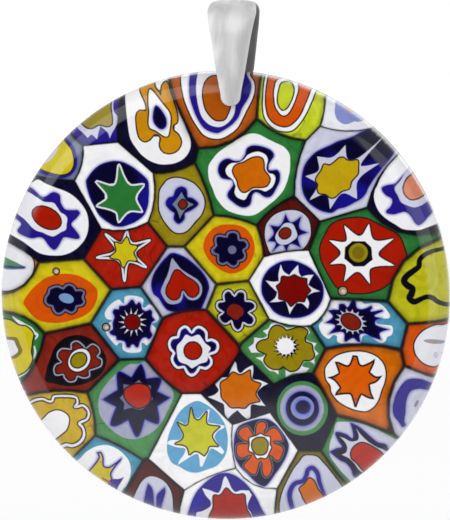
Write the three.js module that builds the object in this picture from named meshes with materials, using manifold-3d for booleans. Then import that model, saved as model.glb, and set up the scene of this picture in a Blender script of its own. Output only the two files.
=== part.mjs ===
// Millefiori glass pendant: a disc of fused cane slices on a folded silver bail.
// Millimetres, +Z up. The front of the disc faces -Y. The origin is the seat of
// the chain, on the inside of the top of the bail.
import * as THREE from 'three';
import { mergeVertices } from 'three/addons/utils/BufferGeometryUtils.js';
import Module from 'manifold-3d';

const wasm = await Module();
wasm.setup();

// Driving sizes.
const discRadius = 20;
const glassThickness = 4.9;
const domeRise = 0.6;
const shoulderWidth = 2.4;
const shoulderDepth = 2.2;
const backRounding = 1.2;
const holeFromRim = 1.9;
const holeOffset = 0.55;
const pegRadius = 0.6;
const pegClearance = 0.08;
const pegReach = 1.6;
const legClearance = 0.15;
const sheetThickness = 0.7;
const chainGap = 5.6;
const legTipRadius = 0.65;
const legTipDrop = 0.35;
const legRimWidth = 2.5;
const bailWidth = 4.3;
const bailCornerRadius = 0.8;
const discSegments = 96;

// Sizes that follow from them.
const legInner = glassThickness / 2 + legClearance;
const discCentre = { x: -holeOffset, z: -chainGap - discRadius };
const hingeZ = -chainGap - holeFromRim;
const tipZ = hingeZ - legTipDrop;
const tipReach = discRadius - holeFromRim - legTipDrop - legTipRadius;
const flatRadius = discRadius - Math.max(shoulderWidth, backRounding) - 0.01;
const meltScale = discRadius / 20;

// Corners where three slices meet: right and up from the centre of a 20 mm disc.
const corners = {
  c1: [-12.4, 13.45], c2: [-13.15, 10.35], c3: [-9.3, 13.8], c4: [-6.15, 11.1],
  c5: [-2.45, 12.05], c6: [-2.15, 13.3], c7: [3.05, 15.95], c8: [7.4, 14.05],
  c9: [8.65, 15.3], c10: [6.4, 9.15], c11: [8.65, 6.95], c12: [12.8, 8.2],
  c13: [-10.75, 6.15], c14: [-6.6, 6.75], c15: [-4.85, 4.6], c16: [-3.35, 4.6],
  c17: [-0.75, 7.4], c18: [3.05, 6.55], c19: [3.7, 3.75], c20: [7.65, 4.35],
  c21: [-0.5, 1.3], c22: [2.4, 1.65], c23: [9.6, 0.1], c24: [14.65, -0.1],
  c25: [16.4, -2.1], c26: [15.85, -4.4], c27: [16.15, -5.85], c28: [-12.35, 3.45],
  c29: [-16.35, 3.1], c30: [-9.85, 0.75], c31: [-7.25, 1.0], c32: [-5.3, -1.75],
  c33: [-1.4, -0.95], c34: [4.2, -1.75], c35: [7.85, -2.3], c36: [9.15, -4.35],
  c37: [-11.7, -2.3], c38: [-15.85, -3.25], c39: [-9.15, -5.5], c40: [-6.85, -5.4],
  c41: [1.5, -4.1], c42: [1.6, -4.65], c43: [8.05, -6.55], c44: [4.6, -7.6],
  c45: [-3.55, -8.5], c46: [-1.9, -8.45], c47: [4.25, -10.1], c48: [0.9, -11.2],
  c49: [-12.05, -8.5], c50: [10.15, -10.3], c51: [15.15, -12.0], c52: [6.75, -13.45],
  c53: [8.75, -13.45], c54: [-11.35, -12.35], c55: [-7.1, -14.5], c56: [-6.6, -14.35],
  c57: [-3.4, -17.15], c58: [1.2, -15.1], c59: [4.85, -16.9],
};

// Where a seam runs out at the rim: degrees counter-clockwise from the right.
const rimAngles = {
  r1: 117.4, r2: 133.4, r3: 147.8, r4: 165.9, r5: 179.7, r6: 184.3, r7: 203.6, r8: 206.8,
  r9: 227, r10: 243.1, r11: 258.3, r12: 283, r13: 303.4, r14: 321.3, r15: 339.7,
  r16: 354.7, r17: 15.7, r18: 17.6, r19: 39.7, r20: 48.9, r21: 63.3, r22: 80.5, r23: 104.2,
};

// Seams that bow: how far the middle stands to the left of the walk between the ends.
const bows = {
  'c4 c5': -0.28, 'c6 r23': 0.15, 'c6 c7': -0.8, 'c7 c8': -0.42, 'c9 r21': -0.15,
  'c9 r20': -0.3, 'c8 c10': -0.28, 'c18 c10': 0.28, 'c17 c18': 0.2, 'c5 c17': 0.18,
  'c4 c14': 0.35, 'c13 c14': -0.42, 'c1 c2': 0.3, 'c29 r4': -0.2, 'c29 r5': 0.75,
  'c38 r6': -0.6, 'c38 r7': 0.45, 'c49 r8': -0.38, 'c49 c54': 0.22, 'c54 c55': 0.17,
  'c57 c58': 0.25, 'c58 c59': -0.62, 'c48 c58': -0.2, 'c50 c51': 0.17, 'c27 c51': -0.88,
  'c24 r17': 1.2, 'c12 r18': -1.1, 'c12 r19': 0.42, 'c19 c20': 0.17, 'c18 c19': 0.14,
  'c33 c32': -0.28, 'c40 c45': -0.2, 'c42 c46': 0.35, 'c34 c35': -0.25, 'c23 c35': 0.3,
  'c36 c26': 0.42, 'c44 c43': 0.27,
};

// Every slice of cane: its name, its main colour and its corners counter-clockwise.
const slices = [
  ['murrina_cobalt_olive', 0x2a1a9a, 'r1 r2 c1 c3'],
  ['murrina_yellow_edge', 0xdccc20, 'r2 r3 c2 c1'],
  ['murrina_amber_cross', 0xe8e8f0, 'r23 r1 c3 c4 c5 c6'],
  ['murrina_brown_loops', 0xb0500c, 'r22 r23 c6 c7'],
  ['murrina_lime_loops', 0xc0d020, 'r21 r22 c7 c8 c9'],
  ['murrina_lilac_edge', 0xe4e4ea, 'r20 r21 c9'],
  ['murrina_red_oval', 0xe6e6ee, 'r3 r4 c29 c28 c13 c2'],
  ['murrina_green_star', 0x22883c, 'c1 c2 c13 c14 c4 c3'],
  ['murrina_small_cross', 0xa08410, 'c4 c14 c15 c16 c17 c5'],
  ['murrina_orange_square', 0x2c8a2c, 'c6 c5 c17 c18 c10 c8 c7'],
  ['murrina_mustard_sun', 0xc8a800, 'r19 r20 c9 c8 c10 c11 c12'],
  ['murrina_salmon_edge', 0xe0e0ee, 'r18 r19 c12'],
  ['murrina_white_slit_left', 0xdcdce0, 'r4 r5 c29'],
  ['murrina_orange_flower_left', 0xd04800, 'r5 r6 c38 c37 c30 c28 c29'],
  ['murrina_yellow_star', 0x981008, 'c13 c28 c30 c31 c15 c14'],
  ['murrina_red_heart', 0x8c8cb4, 'c15 c31 c32 c33 c21 c16'],
  ['murrina_orange_flower_mid', 0xc8b808, 'c16 c21 c22 c19 c18 c17'],
  ['murrina_zigzag_star', 0x501008, 'c18 c19 c20 c11 c10'],
  ['murrina_white_star', 0xa82010, 'r17 r18 c12 c11 c20 c23 c24'],
  ['murrina_yellow_wave', 0xb8bc10, 'r16 r17 c24 c25'],
  ['murrina_olive_flower_edge', 0x908c20, 'r6 r7 c38'],
  ['murrina_brick_flower', 0x882010, 'r7 r8 c49 c39 c37 c38'],
  ['murrina_blue_gear', 0x5898c8, 'c30 c37 c39 c40 c32 c31'],
  ['murrina_red_daisy', 0xac1c00, 'c32 c40 c45 c46 c42 c41 c33'],
  ['murrina_lime_daisy', 0xa0a010, 'c21 c33 c41 c34 c22'],
  ['murrina_swirl_star', 0xdcdce4, 'c22 c34 c35 c23 c20 c19'],
  ['murrina_blue_burst', 0x4c98bc, 'c23 c35 c36 c26 c25 c24'],
  ['murrina_white_slit_right', 0xc85008, 'r15 r16 c25 c26 c27'],
  ['murrina_olive_flower', 0x3c9044, 'c34 c41 c42 c44 c43 c36 c35'],
  ['murrina_mustard_edge', 0xb08c10, 'r8 r9 c54 c49'],
  ['murrina_violet_star', 0x2c7440, 'c39 c49 c54 c55 c56 c45 c40'],
  ['murrina_orange_sun', 0xd87c08, 'c42 c46 c48 c47 c44'],
  ['murrina_target', 0x101018, 'c44 c47 c52 c53 c50 c43'],
  ['murrina_orange_star', 0xd06808, 'c36 c43 c50 c51 c27 c26'],
  ['murrina_violet_crescent', 0xa8a4bc, 'r14 r15 c27 c51'],
  ['murrina_yellow_crown', 0x4890b0, 'r9 r10 c55 c54'],
  ['murrina_sky_star', 0x58a8d0, 'c45 c56 c57 c58 c48 c46'],
  ['murrina_orange_petals', 0xc85820, 'c47 c48 c58 c59 c52'],
  ['murrina_red_zigzag', 0xa83028, 'r13 r14 c51 c50 c53'],
  ['murrina_twin_leaves', 0x5c1408, 'r10 r11 c57 c56 c55'],
  ['murrina_blue_red_edge', 0x2814b0, 'r11 r12 c59 c58 c57'],
  ['murrina_wavy_line', 0xd8d8e4, 'r12 r13 c53 c52 c59'],
];

const group = new THREE.Group();
group.name = 'millefiori_pendant';

function solidFrom(geometry) {
  const bare = geometry.clone();
  bare.deleteAttribute('normal');
  bare.deleteAttribute('uv');
  const merged = mergeVertices(bare, 1e-4);
  return new wasm.Manifold(new wasm.Mesh({
    numProp: 3,
    vertProperties: Float32Array.from(merged.attributes.position.array),
    triVerts: Uint32Array.from(merged.index.array),
  }));
}

function geometryFrom(solid) {
  const mesh = solid.getMesh();
  const geometry = new THREE.BufferGeometry();
  geometry.setAttribute('position', new THREE.BufferAttribute(mesh.vertProperties, 3));
  geometry.setIndex(new THREE.BufferAttribute(mesh.triVerts, 1));
  geometry.computeVertexNormals();
  return geometry;
}

function addPiece(name, geometry, color, metalness, roughness) {
  const material = new THREE.MeshStandardMaterial({ color, metalness, roughness });
  const mesh = new THREE.Mesh(geometry, material);
  mesh.name = name;
  group.add(mesh);
}

// A flat outline drawn right and up, given thickness from y = back towards the front.
function slab(shape, depth, back) {
  const geometry = new THREE.ExtrudeGeometry(shape, { depth, bevelEnabled: false, curveSegments: 10 });
  geometry.rotateX(Math.PI / 2);
  geometry.translate(0, back, 0);
  return geometry;
}

function rimPoint(name, radius) {
  const angle = THREE.MathUtils.degToRad(rimAngles[name]);
  return new THREE.Vector2(radius * Math.cos(angle), radius * Math.sin(angle));
}

function cornerPoint(name) {
  if (name in rimAngles) {
    return rimPoint(name, discRadius);
  }
  return new THREE.Vector2(...corners[name]).multiplyScalar(meltScale);
}

// The points of one seam, without its far end.
function seamPoints(from, to) {
  const start = cornerPoint(from);
  const end = cornerPoint(to);
  if (from in rimAngles && to in rimAngles) {
    return [start, rimPoint(from, discRadius * 1.15), rimPoint(to, discRadius * 1.15)];
  }
  const bow = (bows[`${from} ${to}`] ?? -(bows[`${to} ${from}`] ?? 0)) * meltScale;
  if (bow === 0) {
    return [start];
  }
  const along = end.clone().sub(start).normalize();
  const pull = start.clone().add(end).multiplyScalar(0.5);
  pull.add(new THREE.Vector2(-along.y, along.x).multiplyScalar(2 * bow));
  const curve = new THREE.QuadraticBezierCurve(start, pull, end);
  return curve.getPoints(4).slice(0, -1);
}

// The whole disc without its dome: a wide soft shoulder in front, a small one behind.
function discBody() {
  const front = -glassThickness / 2;
  const back = glassThickness / 2;
  const frontArc = new THREE.EllipseCurve(
    discRadius - shoulderWidth, front + shoulderDepth, shoulderWidth, shoulderDepth,
    -Math.PI / 2, 0, false, 0);
  const backArc = new THREE.EllipseCurve(
    discRadius - backRounding, back - backRounding, backRounding, backRounding,
    0, Math.PI / 2, false, 0);
  const profile = [new THREE.Vector2(0, front)];
  profile.push(...frontArc.getPoints(6));
  profile.push(...backArc.getPoints(4));
  profile.push(new THREE.Vector2(0, back));
  return solidFrom(new THREE.LatheGeometry(profile, discSegments));
}

// The front swells towards the middle; the legs of the bail meet it at its nominal thickness.
function swellFront(geometry) {
  const position = geometry.attributes.position;
  for (let i = 0; i < position.count; i += 1) {
    const x = position.getX(i);
    const y = position.getY(i);
    const z = position.getZ(i);
    const share = Math.max(0, -y / (glassThickness / 2));
    const lift = domeRise * (tipReach ** 2 - x ** 2 - z ** 2) / discRadius ** 2;
    position.setY(i, y - share * lift);
  }
  geometry.computeVertexNormals();
}

const disc = discBody();
const drill = new THREE.CylinderGeometry(
  pegRadius + pegClearance, pegRadius + pegClearance, glassThickness * 2, 32);
drill.translate(holeOffset, 0, discRadius - holeFromRim);
const hole = solidFrom(drill);

for (const [name, color, route] of slices) {
  const stops = route.split(' ');
  const points = stops.flatMap((stop, i) => seamPoints(stop, stops[(i + 1) % stops.length]));
  let geometry = slab(new THREE.Shape(points), glassThickness, glassThickness / 2);
  if (points.some((point) => point.length() > flatRadius)) {
    let solid = solidFrom(geometry).intersect(disc);
    if (name === 'murrina_brown_loops') {
      solid = solid.subtract(hole);
    }
    geometry = geometryFrom(solid);
  } else {
    geometry.deleteAttribute('normal');
    geometry.deleteAttribute('uv');
    geometry = mergeVertices(geometry, 1e-4);
  }
  swellFront(geometry);
  geometry.translate(discCentre.x, 0, discCentre.z);
  addPiece(name, geometry, color, 0, 0.15);
}

// The bail seen from the side: a strip folded over the chain, with two straight legs.
function bailSide() {
  const outer = legInner + sheetThickness;
  const low = tipZ - legTipRadius;
  const shape = new THREE.Shape();
  shape.moveTo(-outer, low);
  shape.lineTo(-legInner, low);
  shape.lineTo(-legInner, -legInner);
  shape.absarc(0, -legInner, legInner, Math.PI, 0, true);
  shape.lineTo(legInner, low);
  shape.lineTo(outer, low);
  shape.lineTo(outer, -legInner);
  shape.absarc(0, -legInner, outer, 0, Math.PI, false);
  shape.closePath();
  const geometry = new THREE.ExtrudeGeometry(
    shape, { depth: bailWidth * 1.2, bevelEnabled: false, curveSegments: 24 });
  geometry.translate(0, 0, -bailWidth * 0.6);
  geometry.rotateX(Math.PI / 2);
  geometry.rotateZ(Math.PI / 2);
  return solidFrom(geometry);
}

// The bail seen from the front: wide at the fold, tapering to two small round tips.
function bailFront() {
  const top = sheetThickness;
  const half = bailWidth / 2;
  const shape = new THREE.Shape();
  shape.absarc(0, tipZ, legTipRadius, Math.PI, 2 * Math.PI, false);
  shape.lineTo(legRimWidth / 2, -chainGap);
  shape.lineTo(half, top - bailCornerRadius);
  shape.absarc(half - bailCornerRadius, top - bailCornerRadius, bailCornerRadius, 0, Math.PI / 2, false);
  shape.absarc(bailCornerRadius - half, top - bailCornerRadius, bailCornerRadius, Math.PI / 2, Math.PI, false);
  shape.lineTo(-legRimWidth / 2, -chainGap);
  shape.closePath();
  const reach = legInner + sheetThickness + 1;
  return solidFrom(slab(shape, reach * 2, reach));
}

addPiece('bail', geometryFrom(bailSide().intersect(bailFront())), 0xd8d8dc, 1, 0.25);

// A short peg on the inside of each leg tip, entering the drilled hole.
for (const [name, side] of [['front_peg', -1], ['back_peg', 1]]) {
  const length = legClearance + pegReach;
  const geometry = new THREE.CylinderGeometry(pegRadius, pegRadius, length, 24);
  geometry.translate(0, side * (legInner - length / 2), hingeZ);
  addPiece(name, geometry, 0xd0d0d4, 1, 0.3);
}

export default group;
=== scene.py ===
"""Looks of the millefiori pendant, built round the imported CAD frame. Metres; +Z up; the front faces -Y."""

import math

import bmesh
import bpy
import numpy as np
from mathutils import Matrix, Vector, geometry


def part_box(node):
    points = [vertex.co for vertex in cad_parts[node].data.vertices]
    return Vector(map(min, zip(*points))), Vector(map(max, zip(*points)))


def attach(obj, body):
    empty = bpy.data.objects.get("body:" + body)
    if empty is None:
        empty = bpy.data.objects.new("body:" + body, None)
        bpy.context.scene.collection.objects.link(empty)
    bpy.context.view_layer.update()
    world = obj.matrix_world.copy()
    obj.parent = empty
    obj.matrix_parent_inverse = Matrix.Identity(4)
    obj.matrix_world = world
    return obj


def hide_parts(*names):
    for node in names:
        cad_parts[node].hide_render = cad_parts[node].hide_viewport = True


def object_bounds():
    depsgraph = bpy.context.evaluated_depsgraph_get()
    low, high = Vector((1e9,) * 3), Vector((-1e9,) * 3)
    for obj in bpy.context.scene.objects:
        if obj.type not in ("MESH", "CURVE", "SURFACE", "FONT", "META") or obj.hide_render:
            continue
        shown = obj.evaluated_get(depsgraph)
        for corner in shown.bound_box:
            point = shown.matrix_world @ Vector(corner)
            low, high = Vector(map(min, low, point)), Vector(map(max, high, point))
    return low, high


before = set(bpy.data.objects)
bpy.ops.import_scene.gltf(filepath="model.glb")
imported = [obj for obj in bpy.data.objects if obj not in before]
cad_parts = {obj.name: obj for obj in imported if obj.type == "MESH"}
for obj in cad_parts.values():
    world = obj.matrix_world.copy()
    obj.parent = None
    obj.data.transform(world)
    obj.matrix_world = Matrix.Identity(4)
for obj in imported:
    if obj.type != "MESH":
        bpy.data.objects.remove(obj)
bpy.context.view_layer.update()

# Sizes in millimetres, as in the part.
MM = 0.001
RADIUS = 20.0
HALF_THICK = 2.45
SHOULDER_WIDTH = 2.4
SHOULDER_DEPTH = 2.2
BACK_ROUNDING = 1.2
DOME_RISE = 0.6
TIP_REACH = 17.1
LEG_INNER = 2.6
SHEET = 0.7
BAIL_HALF = 2.15
BAIL_CORNER = 0.8
LEG_RIM_HALF = 1.25
RIM_Z = -5.6
HINGE_Z = -7.5
LEG_TIP_Z = -7.85
LEG_TIP_RADIUS = 0.65
PEG_RADIUS = 0.6
PEG_REACH = 1.6
PEG_CLEARANCE = 0.15

# The visible strip of the bail: rounder tips, a fuller back leg and a small shift to the right.
TIP_Z = LEG_TIP_Z - LEG_TIP_RADIUS
TIP_SHOULDER_Z = -7.5
TIP_HALF = 0.9
TIP_SQUARENESS = 2.3
BACK_LEG_EXTRA = 0.3
BAIL_SHIFT = 0.22
STRIP_SIDES = 36
STRIP_SQUARENESS = 0.42
CROWN = 0.25

# Mesh density in millimetres.
CURVE_STEP = 0.16
GRID_STEP = 0.42
RING_RADII = (17.6, 18.1, 18.6, 19.0, 19.35, 19.6, 19.8, 19.93)
RING_STEP = 0.5
SEAM_CLEAR = 0.12
WELD = 0.001
ON_RIM = 0.02
HINT_DEPTHS = (0.05, 0.1, 0.2, 0.32)
HINT_SLACK = 0.02

# Drawn edges, in millimetres: how crisp they are, the dark line, the blue bleed and the halo.
SOFT = 0.05
LINE = 0.13
BLEED = 0.22
HALO = 0.26

murrine = [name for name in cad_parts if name.startswith("murrina_")]
boxes = [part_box(name) for name in murrine]
CENTRE_X = (min(b[0][0] for b in boxes) + max(b[1][0] for b in boxes)) / 2 / MM
CENTRE_Z = (min(b[0][2] for b in boxes) + max(b[1][2] for b in boxes)) / 2 / MM

COLOURS = {
    "cobalt": (38, 22, 140), "navy": (9, 5, 44), "ink": (14, 14, 22), "blue": (30, 25, 190),
    "bleed": (24, 18, 128), "halo": (70, 62, 184), "white": (249, 249, 252), "milk": (236, 236, 243),
    "lilac": (206, 207, 226), "mist": (168, 170, 195), "slate": (112, 112, 150), "steel": (118, 130, 150),
    "periwinkle": (138, 148, 212),
    "sky": (96, 168, 212), "haze": (120, 160, 205), "teal": (76, 152, 182), "yellow": (214, 197, 16),
    "straw": (190, 188, 20), "mustard": (202, 168, 16), "olive": (154, 136, 14), "moss": (124, 112, 16),
    "lime": (202, 216, 36), "amber": (214, 146, 10), "orange": (214, 108, 2), "flame": (226, 96, 0),
    "coral": (220, 86, 4), "rust": (182, 88, 12), "red": (174, 26, 2), "scarlet": (186, 42, 26),
    "ruby": (126, 8, 4), "brick": (132, 32, 16), "maroon": (86, 16, 6), "green": (44, 122, 54),
    "fern": (72, 140, 78), "violet": (62, 36, 150), "salmon": (222, 132, 96),
    "tan": (186, 152, 116), "dark": (30, 24, 26), "grey": (150, 142, 150), "sun": (204, 202, 28),
}


def linear(name):
    values = []
    for value in COLOURS[name]:
        c = value / 255
        values.append(c / 12.92 if c <= 0.04045 else ((c + 0.055) / 1.055) ** 2.4)
    return (*values, 1.0)


# A drawn shape is a closed smooth curve through points "x,z" in millimetres right and up
# from the centre of the disc; "!" marks a sharp corner.
def parse(text):
    points, sharp = [], []
    for word in text.split():
        sharp.append(word.endswith("!"))
        x, z = word.rstrip("!").split(",")
        points.append((float(x), float(z)))
    return np.array(points), sharp


def smooth(points, sharp, closed=True):
    n = len(points)
    out = []
    for i in range(n if closed else n - 1):
        p0, p1 = points[i], points[(i + 1) % n]
        length = math.dist(p0, p1)
        if length < 1e-6:
            continue
        tangents = []
        for j, is_sharp in ((i, sharp[i]), ((i + 1) % n, sharp[(i + 1) % n])):
            ends = not closed and j in (0, n - 1)
            if is_sharp or ends:
                tangents.append(p1 - p0)
                continue
            before, after = points[j - 1], points[(j + 1) % n]
            span = math.dist(points[j], before) + math.dist(after, points[j])
            tangents.append((after - before) * length / span)
        steps = max(1, math.ceil(length / CURVE_STEP))
        for k in range(steps):
            t = k / steps
            a, b = 2 * t**3 - 3 * t**2 + 1, t**3 - 2 * t**2 + t
            c, d = 3 * t**2 - 2 * t**3, t**3 - t**2
            out.append(a * p0 + b * tangents[0] + c * p1 + d * tangents[1])
    if not closed:
        out.append(points[-1])
    return np.array(out)


def ellipse(cx, cz, rx, rz=None, tilt=0):
    rz = rx if rz is None else rz
    n = max(16, math.ceil(2 * math.pi * max(rx, rz) / CURVE_STEP))
    t = np.arange(n) * 2 * math.pi / n
    a = math.radians(tilt)
    x, z = rx * np.cos(t), rz * np.sin(t)
    return np.stack([cx + x * math.cos(a) - z * math.sin(a), cz + x * math.sin(a) + z * math.cos(a)], 1)


# A ring of sharp spikes that lean the same way.
def burst(cx, cz, spikes, tip, valley, squeeze=1.0, tilt=0, lean=0.3):
    a = math.radians(tilt)
    points = []
    for k in range(spikes):
        for turn, radius in ((k + lean, tip), (k + 0.5, valley), (k + 1.0, valley)):
            t = turn * 2 * math.pi / spikes
            x, z = radius * math.cos(t), radius * math.sin(t) * squeeze
            points.append((cx + x * math.cos(a) - z * math.sin(a), cz + x * math.sin(a) + z * math.cos(a)))
    return smooth(np.array(points), [True] * len(points))


# A line of even or changing width drawn through points.
def stroke(text, *widths):
    points, sharp = parse(text)
    line = smooth(points, sharp, closed=False)
    ahead = np.gradient(line, axis=0)
    ahead /= np.linalg.norm(ahead, axis=1)[:, None]
    side = np.stack([-ahead[:, 1], ahead[:, 0]], 1)
    half = np.interp(np.linspace(0, 1, len(line)), np.linspace(0, 1, len(widths)), widths)[:, None] / 2
    return np.concatenate([line + side * half, (line - side * half)[::-1]])


def outline_of(shape):
    return smooth(*parse(shape)) if isinstance(shape, str) else shape


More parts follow.
